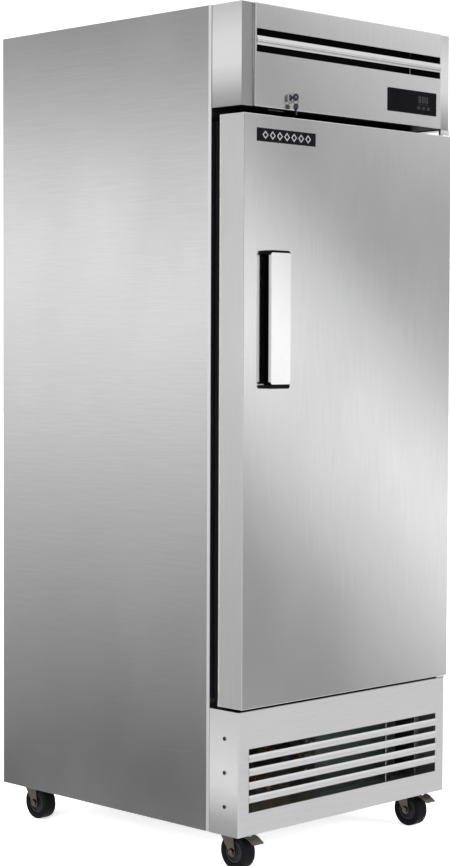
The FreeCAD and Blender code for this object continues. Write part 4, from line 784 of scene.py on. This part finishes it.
plug_low, plug_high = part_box("lock_plug")
cam_y = (lock_high.y + 0.4 * MM, lock_high.y + 2.9 * MM)
plug = rod("plug", (lock_x, flange_y, lock_z), (lock_x, plug_high.y, lock_z), 8 * MM, 48)
slot = block("slot", (lock_x - 1 * MM, flange_y - 0.01, lock_z - 3 * MM),
             (lock_x + 1 * MM, flange_y + 20 * MM, lock_z + 3 * MM))
cam = round_along(block("cam", (plug_low.x, cam_y[0], lock_z - 6.5 * MM),
                        (lock_x, cam_y[1], lock_z + 6.5 * MM)), (0, 1, 0), 5 * MM)
plug = join("lock_core", [soften(cut(plug, slot), 0.5 * MM, 2), soften(cam, 0.4 * MM, 2)])
finish(smooth(plug), plug_nickel, "lock_plug")

# %% Keys: a round bow with an eye, and a blade with cuts along one edge


def key_from(name, bow_at, bow_radius, eye_at, eye_radius, blade_low, blade_high, cuts):
    """A key lying in the plane of y and z, two millimetres thick."""
    half = Vector((1 * MM, 0, 0))
    bow = rod(name, bow_at - half, bow_at + half, bow_radius, 48)
    cut(bow, rod("eye", eye_at - 3 * half, eye_at + 3 * half, eye_radius, 32))
    blade = block("blade", blade_low - half, blade_high + half)
    for notch in cuts:
        notch_at = blade_low.lerp(blade_high, notch)
        notch_at.y = blade_low.y
        cut(blade, rod("notch", notch_at - 3 * half, notch_at + 3 * half, 1.3 * MM, 12))
    return soften(join(name, [bow, blade]), 0.25 * MM, 2)


key_low, key_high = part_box("key")
bow_at = Vector((lock_x, key_low.y + 8 * MM, lock_z))
lock_key = key_from("lock_key", bow_at, 8 * MM, bow_at, 2.6 * MM,
                    Vector((lock_x, bow_at.y + 7 * MM, lock_z - 3 * MM)),
                    Vector((lock_x, key_high.y, lock_z + 3 * MM)), [])
finish(smooth(lock_key), key_nickel, "key")

spare_low, spare_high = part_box("spare_key")
ring_at = Vector((lock_x, bow_at.y, spare_high.z - 7.7 * MM))
spare_eye = ring_at - Vector((0, 0, 7 * MM))
spare_bow = spare_eye - Vector((0, 0, 4.7 * MM))
spare = key_from("spare", spare_bow, 7 * MM, spare_eye, 1.3 * MM,
                 Vector((lock_x, bow_at.y - 3 * MM, spare_low.z)),
                 Vector((lock_x, bow_at.y + 3 * MM, spare_bow.z - 4 * MM)), [0.2, 0.4, 0.62])
start_clean()
bpy.ops.mesh.primitive_torus_add(major_radius=7 * MM, minor_radius=0.7 * MM, major_segments=64,
                                 minor_segments=12,
                                 location=ring_at, rotation=(math.radians(90), 0, 0))
ring = settle(bpy.context.object, "ring")
spare = join("spare_key_on_ring", [spare, ring])
finish(smooth(spare), key_nickel, "spare_key")
print("lock and controller built")

# %% [markdown]
# ## Screws and hinge brackets
# The grille's sides are held by three pan-head screws each, with a cross recess. The hinge brackets
# are thick polished plates above and below the door, with a turned lip in front.

# %% Screws, caster bolts


def screw_head(at, out, radius, height, slot_wide):
    """A domed head with a cross recess, standing on a point and facing one way."""
    at, out = Vector(at), Vector(out)
    head = rod("head", at - out * 0.1 * MM, at + out * height, radius, 32)
    soften(head, height * 0.6, 4, angle=60)
    across, up = Vector((out.y, out.x, 0)), Vector((0, 0, 1))
    if abs(out.z) > 0.5:
        across, up = Vector((1, 0, 0)), Vector((0, 1, 0))
    for long, wide in ((across, up), (up, across)):
        reach = (long * radius * 0.55 + wide * slot_wide / 2)
        corner_a, corner_b = at + out * height * 0.35 - reach, at + out * height * 2 + reach
        low = Vector([min(a, b) for a, b in zip(corner_a, corner_b)])
        high = Vector([max(a, b) for a, b in zip(corner_a, corner_b)])
        cut(head, block("recess", low, high))
    return head


screws = []
for side in (-1, 1):
    for y, z in SCREW_PLACES:
        screws.append(screw_head((side * side_high.x, y, z), (side, 0, 0), 4.5 * MM, 1.6 * MM, 1.1 * MM))
plate_low, plate_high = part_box("caster_plates")
pan_top = plate_high.z + 2.5 * MM
HALF_PLATE = 33 * MM
KINGPIN_X = plate_high.x - HALF_PLATE
kingpins = [(side * KINGPIN_X, y) for y in (plate_low.y + HALF_PLATE,
                                            plate_high.y - HALF_PLATE) for side in (-1, 1)]
for x, y in kingpins:
    for dx in (-23 * MM, 23 * MM):
        for dy in (-23 * MM, 23 * MM):
            bolt = rod("bolt", (x + dx, y + dy, pan_top - 1 * MM), (x + dx, y + dy, pan_top + 4 * MM),
                       6.5 * MM, 6)
            screws.append(soften(bolt, 0.6 * MM, 2))
screws = join("screws_and_bolts", screws)
finish(smooth(screws), key_nickel, "fasteners")

# %% Hinge brackets

for node, lip_up in (("hinge_bracket_top", False), ("hinge_bracket_bottom", True)):
    low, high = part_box(node)
    plate_z = (high.z - 3 * MM, high.z) if not lip_up else (low.z, low.z + 3 * MM)
    lip_z = (1612 * MM, high.z) if not lip_up else (low.z, 354.5 * MM)
    plate = block("plate", (low.x, low.y, plate_z[0]), (high.x, high.y, plate_z[1]))
    round_along(plate, (0, 0, 1), 3 * MM, 4)
    front_lip = block("front_lip", (low.x, low.y, lip_z[0]), (high.x, low.y + 2 * MM, lip_z[1]))
    pin_z = (low.z, high.z)
    pin = rod("pin", (hinge_x, hinge_y, pin_z[0]), (hinge_x, hinge_y, pin_z[1]), 5 * MM, 40)
    parts_here = [soften(plate, 0.6 * MM, 2), soften(front_lip, 0.6 * MM, 2), soften(pin, 0.8 * MM, 2)]
    if lip_up:
        collar = rod("collar", (hinge_x, hinge_y, low.z + 3 * MM), (hinge_x, hinge_y, 355.1 * MM), 8 * MM,
                     40)
        parts_here.append(soften(collar, 0.4 * MM, 2))
    bracket = join(node + "_plate", parts_here)
    finish(smooth(bracket), bright_steel, node)
print("screws and brackets built")

# %% [markdown]
# ## Casters
# A swivel caster has a bolted plate with a kingpin, a pressed fork that trails behind it, and a solid
# wheel: a dark moulded hub with a rubber tyre. The front pair has a foot lever over the wheel. One of
# each is modelled at a kingpin on the origin and copied to the corners.

# %% Wheel

WHEEL, HALF_WHEEL, HUB, TRAIL = 38 * MM, 15 * MM, 25 * MM, 28 * MM
axle_at = Vector((0, -TRAIL, WHEEL))
across = Vector((HALF_WHEEL, 0, 0))
tyre = rod("tyre", axle_at - across, axle_at + across, WHEEL, 96)
choose(tyre, "FACE", lambda middle, normal: abs(normal.x) > 0.99)
bpy.ops.mesh.inset(thickness=WHEEL - HUB)
bpy.ops.mesh.extrude_region_move(TRANSFORM_OT_translate={"value": (0, 0, 0)})
bpy.ops.transform.resize(value=(0.72, 1, 1), center_override=tuple(axle_at), orient_type="GLOBAL")
done(tyre)
soften(tyre, 4.5 * MM, 5, angle=60)
hub = rod("hub", axle_at - across * 0.9, axle_at + across * 0.9, HUB - 1.0 * MM, 64)
choose(hub, "FACE", lambda middle, normal: abs(normal.x) > 0.99)
bpy.ops.mesh.inset(thickness=5 * MM)
bpy.ops.mesh.extrude_region_move(TRANSFORM_OT_translate={"value": (0, 0, 0)})
bpy.ops.transform.resize(value=(0.72, 1, 1), center_override=tuple(axle_at), orient_type="GLOBAL")
bpy.ops.mesh.inset(thickness=9 * MM)
bpy.ops.mesh.extrude_region_move(TRANSFORM_OT_translate={"value": (0, 0, 0)})
bpy.ops.transform.resize(value=(1.3, 1, 1), center_override=tuple(axle_at), orient_type="GLOBAL")
done(hub)
cut(hub, rod("axle_hole", axle_at - across * 2, axle_at + across * 2, 4.05 * MM, 32))
smooth(soften(hub, 0.7 * MM, 2))
cut(tyre, rod("axle_hole", axle_at - across * 2, axle_at + across * 2, HUB - 2 * MM, 64))
smooth(tyre)

# %% Fork, axle bolt and plate

leg = block("leg", (17 * MM, -30 * MM, WHEEL), (20 * MM, 20 * MM, 91 * MM))
choose(leg, "FACE", lambda middle, normal: normal.z < -0.99)
bpy.ops.transform.resize(value=(1, 0.36, 1), center_override=(0, -5 * MM, WHEEL))
bpy.ops.transform.translate(value=(0, -23 * MM, 0))
done(leg)
eye = rod("eye", (17 * MM, -TRAIL, WHEEL), (20 * MM, -TRAIL, WHEEL), 10 * MM, 48)
legs = [leg, eye]
legs += [copy_at(leg, "leg_two", (-37 * MM, 0, 0)), copy_at(eye, "eye_two", (-37 * MM, 0, 0))]
crown = block("crown", (-20 * MM, -14 * MM, 88 * MM), (20 * MM, 20 * MM, 91 * MM))
fork = soften(join("fork", legs + [crown]), 0.8 * MM, 2)
axle = rod("axle", (-22 * MM, -TRAIL, WHEEL), (22 * MM, -TRAIL, WHEEL), 4 * MM, 32)
nuts = [soften(rod("nut", (x, -TRAIL, WHEEL), (x + 4 * MM, -TRAIL, WHEEL), 7 * MM, 6), 0.6 * MM, 2)
        for x in (-24 * MM, 20 * MM)]
pins = [soften(axle, 0.5 * MM, 2)] + nuts
fork = smooth(join("fork", [fork] + pins))
pedal_pin = soften(rod("pedal_pin", (-21 * MM, -22 * MM, 84 * MM), (21 * MM, -22 * MM, 84 * MM), 2.5 * MM,
                       24), 0.4 * MM, 2)

# %% Foot lever, bent in four runs

lever = block("lever", (-16 * MM, -25 * MM, 86 * MM), (16 * MM, -22 * MM, 88.5 * MM))
for y, z in ((-46, 80), (-72, 75), (-90, 64)):
    choose(lever, "FACE", lambda middle, normal: middle.y <= min(v.co.y for v in lever.data.vertices) + 1e-5)
    low_y = min(v.co.y for v in lever.data.vertices)
    top_z = max(v.co.z for v in lever.data.vertices if v.co.y < low_y + 1e-5)
    bpy.ops.mesh.extrude_region_move(TRANSFORM_OT_translate={"value": (0, y * MM - low_y, z * MM - top_z)})
    done(lever)
tube_about_pin = rod("lever_tube", (-16 * MM, -22 * MM, 84 * MM), (16 * MM, -22 * MM, 84 * MM), 4.5 * MM, 32)
cut(lever, rod("foot_hole", (0, -58 * MM, 60 * MM), (0, -58 * MM, 95 * MM), 8 * MM, 40))
lever = smooth(join("lever", [soften(lever, 0.5 * MM, 2), soften(tube_about_pin, 0.4 * MM, 2)]))

plate = block("caster_plate", (-HALF_PLATE, -HALF_PLATE, 98 * MM), (HALF_PLATE, HALF_PLATE, 102 * MM))
plate = round_along(plate, (0, 0, 1), 6 * MM)
boss = rod("boss", (0, 0, 91.4 * MM), (0, 0, 98.5 * MM), 18 * MM, 48)
king = rod("king", (0, 0, 84.6 * MM), (0, 0, 95 * MM), 8 * MM, 40)
king_head = rod("king_head", (0, 0, 84.6 * MM), (0, 0, 87.6 * MM), 11 * MM, 40)
plate = join("caster_plate", [soften(plate, 0.6 * MM, 2), soften(boss, 2.5 * MM, 3), king,
                              soften(king_head, 1 * MM, 3)])
smooth(plate)

# %% Copy them to the corners

names = {(-1, 0): "front_left", (1, 0): "front_right", (-1, 1): "back_left", (1, 1): "back_right"}
plates = []
for (x, y) in kingpins:
    corner = names[(1 if x > 0 else -1, 1 if y > 0 else 0)]
    place = (x, y, 0)
    plates.append(copy_at(plate, "plate_" + corner, place))
    finish(copy_at(tyre, "tyre_" + corner, place), tyre_rubber, "caster_wheel_" + corner)
    dress(copy_at(hub, "hub_" + corner, place), hub_plastic, "caster_wheel_" + corner)
    finish(copy_at(fork, "fork_" + corner, place), zinc_plate, "caster_fork_" + corner)
    if corner.startswith("front"):
        dress(copy_at(pedal_pin, "pedal_pin_" + corner, place), zinc_plate, "caster_fork_" + corner)
        finish(copy_at(lever, "lever_" + corner, place), zinc_plate, "brake_pedal_" + corner)
finish(join("caster_plates_and_kingpins", plates), zinc_plate, "caster_plates")
for pattern in (plate, tyre, hub, fork, pedal_pin, lever):
    bpy.data.objects.remove(pattern)
print("casters built")

# %% [markdown]
# ## Inside the cabinet
# Each shelf is welded from plastic-coated wire: a stout frame, and rods that run from front to back.
# The rails are slotted uprights, and clips hooked in their slots carry the shelves.

# %% Wire shelves

shelf_low, shelf_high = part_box("shelves")
WIRE, RODS = 3 * MM, 22
wires = []
first_z = shelf_low.z + WIRE
for y in (shelf_low.y + WIRE, (shelf_low.y + shelf_high.y) / 2, shelf_high.y - WIRE):
    wires.append(rod("runner", (shelf_low.x, y, first_z), (shelf_high.x, y, first_z), WIRE, 16))
for x in (shelf_low.x + WIRE, shelf_high.x - WIRE):
    wires.append(rod("end", (x, shelf_low.y, first_z), (x, shelf_high.y, first_z), WIRE, 16))
pitch = (shelf_high.x - shelf_low.x) / (RODS + 1)
cross = rod("cross", (shelf_low.x + pitch, shelf_low.y, first_z + 1.5 * MM),
            (shelf_low.x + pitch, shelf_high.y, first_z + 1.5 * MM),
            WIRE / 2, 12)
apply_modifier(cross, "ARRAY", count=RODS, use_relative_offset=False, use_constant_offset=True,
               constant_offset_displace=(pitch, 0, 0))
shelf = smooth(soften(join("shelf", wires + [cross]), 0.5 * MM, 2, angle=60))
shelves = [shelf] + [copy_at(shelf, "shelf", (0, 0, level * 300 * MM)) for level in (1, 2)]
finish(join("wire_shelves", shelves), shelf_epoxy, "shelves")

# %% Rails with a row of slots, and clips

rails_low, rails_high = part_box("shelf_rails")
rail_ys = (rails_low.y + 8 * MM, rails_high.y - 8 * MM)
pieces = []
for y in rail_ys:
    rail = block("rail", (rails_low.x, y - 8 * MM, rails_low.z),
                 (rails_low.x + 4 * MM, y + 8 * MM, rails_high.z))
    slots = block("slots", (rails_low.x + 2 * MM, y - 4 * MM, rails_low.z + 20 * MM),
                  (rails_low.x + 6 * MM, y + 4 * MM, rails_low.z + 24 * MM))
    apply_modifier(slots, "ARRAY", count=40, use_relative_offset=False, use_constant_offset=True,
                   constant_offset_displace=(0, 0, 25 * MM))
    pieces.append(soften(cut(rail, slots), 0.5 * MM, 2))
    for level in range(3):
        z = shelf_low.z + level * 300 * MM
        clip = block("clip", (rails_low.x + 4 * MM, y - 4.5 * MM, z - 9 * MM),
                     (rails_low.x + 18 * MM, y + 4.5 * MM, z))
        choose(clip, "FACE", lambda middle, normal: normal.z < -0.99)
        bpy.ops.transform.resize(value=(0.5, 1, 1), center_override=(rails_low.x + 4 * MM, y, z))
        pieces.append(soften(done(clip), 0.6 * MM, 2))
left_set = join("rails_left", pieces)
right_set = copy_at(left_set, "rails_right", (0, 0, 0))
right_set.data.transform(Matrix.Scale(-1, 4, (1, 0, 0)))
right_set.data.flip_normals()
finish(smooth(join("rails_and_clips", [left_set, right_set])), plain_steel, "shelf_rails")

# %% [markdown]
# ## Coils
# A coil is a stack of thin aluminium fins pressed on tubes that bend back at each end. The fins are
# far thinner and closer than a working model needs, so the stack is built again here with an array.

# %% Fins and tubes


def coil(name, node, fins, tube_rows):
    low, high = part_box(node)
    low_x, high_x = low.x + 8 * MM, high.x - 8 * MM
    pitch = (high_x - low_x) / fins
    fin = block(name, (low_x, low.y, low.z), (low_x + 0.5 * MM, high.y, high.z))
    apply_modifier(fin, "ARRAY", count=fins, use_relative_offset=False, use_constant_offset=True,
                   constant_offset_displace=(pitch, 0, 0))
    depth, height = high.y - low.y, high.z - low.z
    tubes = []
    for row in range(tube_rows):
        z = low.z + (row + 0.5) * height / tube_rows
        for y in (low.y + depth * 0.3, low.y + depth * 0.7):
            tube = rod("tube", (low.x + 1 * MM, y, z), (high.x - 1 * MM, y, z), 4 * MM, 16)
            tubes.append(soften(tube, 1.5 * MM, 2, angle=60))
    return finish(smooth(join(name, [fin] + tubes)), fin_metal, node)


coil("condenser_fins", "condenser_coil", 110, 6)
coil("evaporator_fins", "evaporator_coil", 90, 6)
print("coils built")

# %% [markdown]
# ## Compressor
# A hermetic compressor is a pressed pot and lid welded round the middle. The weld stands out as a
# ring, and the pot sits on a foot plate over four rubber mounts, with its terminal box on one side.

# %% Compressor

comp_low, comp_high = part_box("compressor")
comp_x, comp_y = comp_low.x + 95 * MM, (comp_low.y + comp_high.y) / 2
pot = rod("pot", (comp_x, comp_y, comp_low.z + 17 * MM), (comp_x, comp_y, comp_high.z), 78 * MM, 96)
soften(pot, 26 * MM, 8, angle=60)
weld_z = comp_low.z + 95 * MM
start_clean()
bpy.ops.mesh.primitive_torus_add(major_radius=77.5 * MM, minor_radius=2.2 * MM, major_segments=96,
                                 minor_segments=12,
                                 location=(comp_x, comp_y, weld_z))
weld = settle(bpy.context.object, "weld")
foot = block("foot", (comp_x - 95 * MM, comp_y - 62 * MM, comp_low.z + 14 * MM),
             (comp_x + 95 * MM, comp_y + 62 * MM, comp_low.z + 25 * MM))
round_along(foot, (0, 0, 1), 14 * MM)
terminals = block("terminals", (comp_x + 66 * MM, comp_y - 26 * MM, comp_low.z + 70 * MM),
                  (comp_high.x, comp_y + 26 * MM, comp_low.z + 125 * MM))
mounts = [soften(rod("mount", (comp_x + dx, comp_y + dy, comp_low.z),
                     (comp_x + dx, comp_y + dy, comp_low.z + 14 * MM), 11 * MM), 2 * MM, 3)
          for dx in (-81 * MM, 81 * MM) for dy in (-48 * MM, 48 * MM)]
pot = join("compressor_pot", [pot, weld, soften(foot, 1.5 * MM, 3), soften(terminals, 3 * MM, 3)] + mounts)
finish(smooth(pot), black_paint, "compressor")
print("compressor", len(pot.data.polygons), "faces")

# %% [markdown]
# ## The stage
# A pale floor that runs far out, a pale surround, and large soft lights. The floor glows faintly, so
# that the cabinet's shadow on it is slight. A mirror-like cabinet shows mostly what stands around it,
# so rays that leave its steel see another surround than the plain one: bands of light and dark, set
# for this camera's direction. Seen from elsewhere the steel looks plainer. The floor itself
# is kept out of the steel's reflections.

# %% Camera

CAMERA_PLACE = Vector((-3.375, -3.3665, 1.120))
CAMERA_TURN = math.radians(-45.0)
CAMERA_TILT = math.radians(90 - 2.41)
CAMERA_ROLL = math.radians(0.21)
camera = bpy.data.objects.new("camera", bpy.data.cameras.new("camera"))
camera.data.lens = 84.5
camera.data.sensor_width = 36.0
camera.data.clip_end = 100.0
camera.matrix_world = (Matrix.Translation(CAMERA_PLACE) @ Matrix.Rotation(CAMERA_TURN, 4, "Z")
                       @ Matrix.Rotation(CAMERA_TILT, 4, "X") @ Matrix.Rotation(CAMERA_ROLL, 4, "Z"))
bpy.context.scene.collection.objects.link(camera)
bpy.context.scene.camera = camera

# %% Floor

start_clean()
bpy.ops.mesh.primitive_circle_add(vertices=96, radius=30.0, fill_type="NGON", location=(0, 0, 0))
floor = settle(bpy.context.object, "floor")
floor_shader = Shader("floor_pale", (0.93, 0.93, 0.93), 0.9, Emission_Color=(1, 1, 1, 1),
                      Emission_Strength=0.45)
floor_shader.rough(floor_shader.noise(2.0), 0.85, 0.95)
floor.data.materials.append(floor_shader.material)
floor.visible_glossy = False

# %% Surround and lights


def ramp_stops(ramp, stops):
    """Set a colour ramp to grey stops, given as (position, brightness)."""
    while len(ramp.elements) < len(stops):
        ramp.elements.new(0.5)
    for element, (position, grey) in zip(ramp.elements, stops):
        element.position = position
        element.color = (grey, grey, grey, 1)


world = bpy.data.worlds.new("surround")
bpy.context.scene.world = world
world.use_nodes = True
sky = world.node_tree
SPAN = 24.0        # degrees either side of level that the ramps cover
PEAK = 1.5         # brightness of a ramp's white


def sum_node(kind, a, b=0.0):
    """A maths node on two values, each a number or another node's output."""
    node = sky.nodes.new("ShaderNodeMath")
    node.operation = kind
    for socket, value in zip(node.inputs, (a, b)):
        if isinstance(value, (int, float)):
            socket.default_value = value
        else:
            sky.links.new(value, socket)
    return node.outputs["Value"]


def ramp_of(value, stops):
    """Brightness by degrees, from stops of (degrees, brightness)."""
    place = sum_node("DIVIDE", sum_node("ADD", value, SPAN), 2 * SPAN)
    ramp = sky.nodes.new("ShaderNodeValToRGB")
    ramp_stops(ramp.color_ramp, [((at + SPAN) / (2 * SPAN), bright / PEAK) for at, bright in stops])
    ramp.color_ramp.interpolation = "EASE"
    sky.links.new(place, ramp.inputs["Fac"])
    return ramp.outputs["Color"]


direction = sky.nodes.new("ShaderNodeTexCoord")
parts = sky.nodes.new("ShaderNodeSeparateXYZ")
sky.links.new(direction.outputs["Generated"], parts.inputs["Vector"])
x, y, z = (parts.outputs[axis] for axis in "XYZ")
height = sum_node("MULTIPLY", sum_node("ARCSINE", z), math.degrees(1))
turn = sum_node("MULTIPLY", sum_node("ARCTAN2", x, sum_node("MULTIPLY", y, -1.0)), math.degrees(1))
lean = sum_node("MINIMUM", sum_node("MAXIMUM", sum_node("SUBTRACT", turn, 45.0), -12.0), 12.0)
slanted = sum_node("ADD", height, lean)
FRONT_STOPS = [(-24, 0.90), (-15, 0.70), (-11, 0.36), (-6.5, 0.28), (-4, 0.42), (-1.2, 0.98), (1.6, 1.44),
               (3.8, 1.12), (6.4, 0.28),
               (9.0, 0.32), (11, 0.50), (14, 0.95), (24, 0.95)]
SIDE_STOPS = [(-24, 0.95), (-17, 0.50), (-12.4, 0.12), (-8.4, 0.42), (-4.3, 0.74), (-1, 1.20), (2.5, 1.42),
              (5.2, 1.26), (7.6, 0.40),
              (11, 0.28), (17, 0.8), (24, 1.05)]
front_ramp = ramp_of(slanted, FRONT_STOPS)
side_ramp = ramp_of(height, SIDE_STOPS)
facing = sky.nodes.new("ShaderNodeMapRange")
facing.inputs["From Min"].default_value, facing.inputs["From Max"].default_value = -0.6, 0.6
sky.links.new(sum_node("SUBTRACT", x, y), facing.inputs["Value"])
blend = sky.nodes.new("ShaderNodeMix")
blend.data_type = "RGBA"
sky.links.new(facing.outputs["Result"], blend.inputs["Factor"])
sky.links.new(side_ramp, blend.inputs["A"])
sky.links.new(front_ramp, blend.inputs["B"])
plain = sky.nodes["Background"]
plain.inputs["Color"].default_value = (1, 1, 1, 1)
plain.inputs["Strength"].default_value = 1.3
graded = sky.nodes.new("ShaderNodeBackground")
graded.inputs["Strength"].default_value = PEAK
sky.links.new(blend.outputs["Result"], graded.inputs["Color"])
ray = sky.nodes.new("ShaderNodeLightPath")
not_mirrored = sky.nodes.new("ShaderNodeMath")
not_mirrored.operation = "SUBTRACT"
not_mirrored.inputs[0].default_value = 1.0
sky.links.new(ray.outputs["Is Glossy Ray"], not_mirrored.inputs[1])
both = sky.nodes.new("ShaderNodeMixShader")
sky.links.new(not_mirrored.outputs["Value"], both.inputs["Fac"])
sky.links.new(graded.outputs["Background"], both.inputs[1])
sky.links.new(plain.outputs["Background"], both.inputs[2])
sky.links.new(both.outputs["Shader"], sky.nodes["World Output"].inputs["Surface"])


def soft_light(name, place, aim, size, power, glossy=True):
    light = bpy.data.lights.new(name, "AREA")
    light.shape = "RECTANGLE"
    light.size, light.size_y = size
    light.energy = power
    lamp = bpy.data.objects.new(name, light)
    lamp.location = place
    lamp.rotation_euler = (Vector(aim) - Vector(place)).to_track_quat("-Z", "Y").to_euler()
    lamp.visible_glossy = glossy
    bpy.context.scene.collection.objects.link(lamp)
    return lamp


soft_light("key_left", (-4.5, -2.0, 1.3), (0, 0, 0.2), (3.0, 2.0), 300, glossy=False)
soft_light("fill_front", (1.5, -5.0, 1.3), (0, 0, 0.2), (3.0, 2.0), 300, glossy=False)
soft_light("overhead", (0, 0, 5.5), (0, 0, 0), (4.0, 4.0), 260, glossy=False)
bpy.context.scene.view_settings.view_transform = "Standard"
print("stage set")
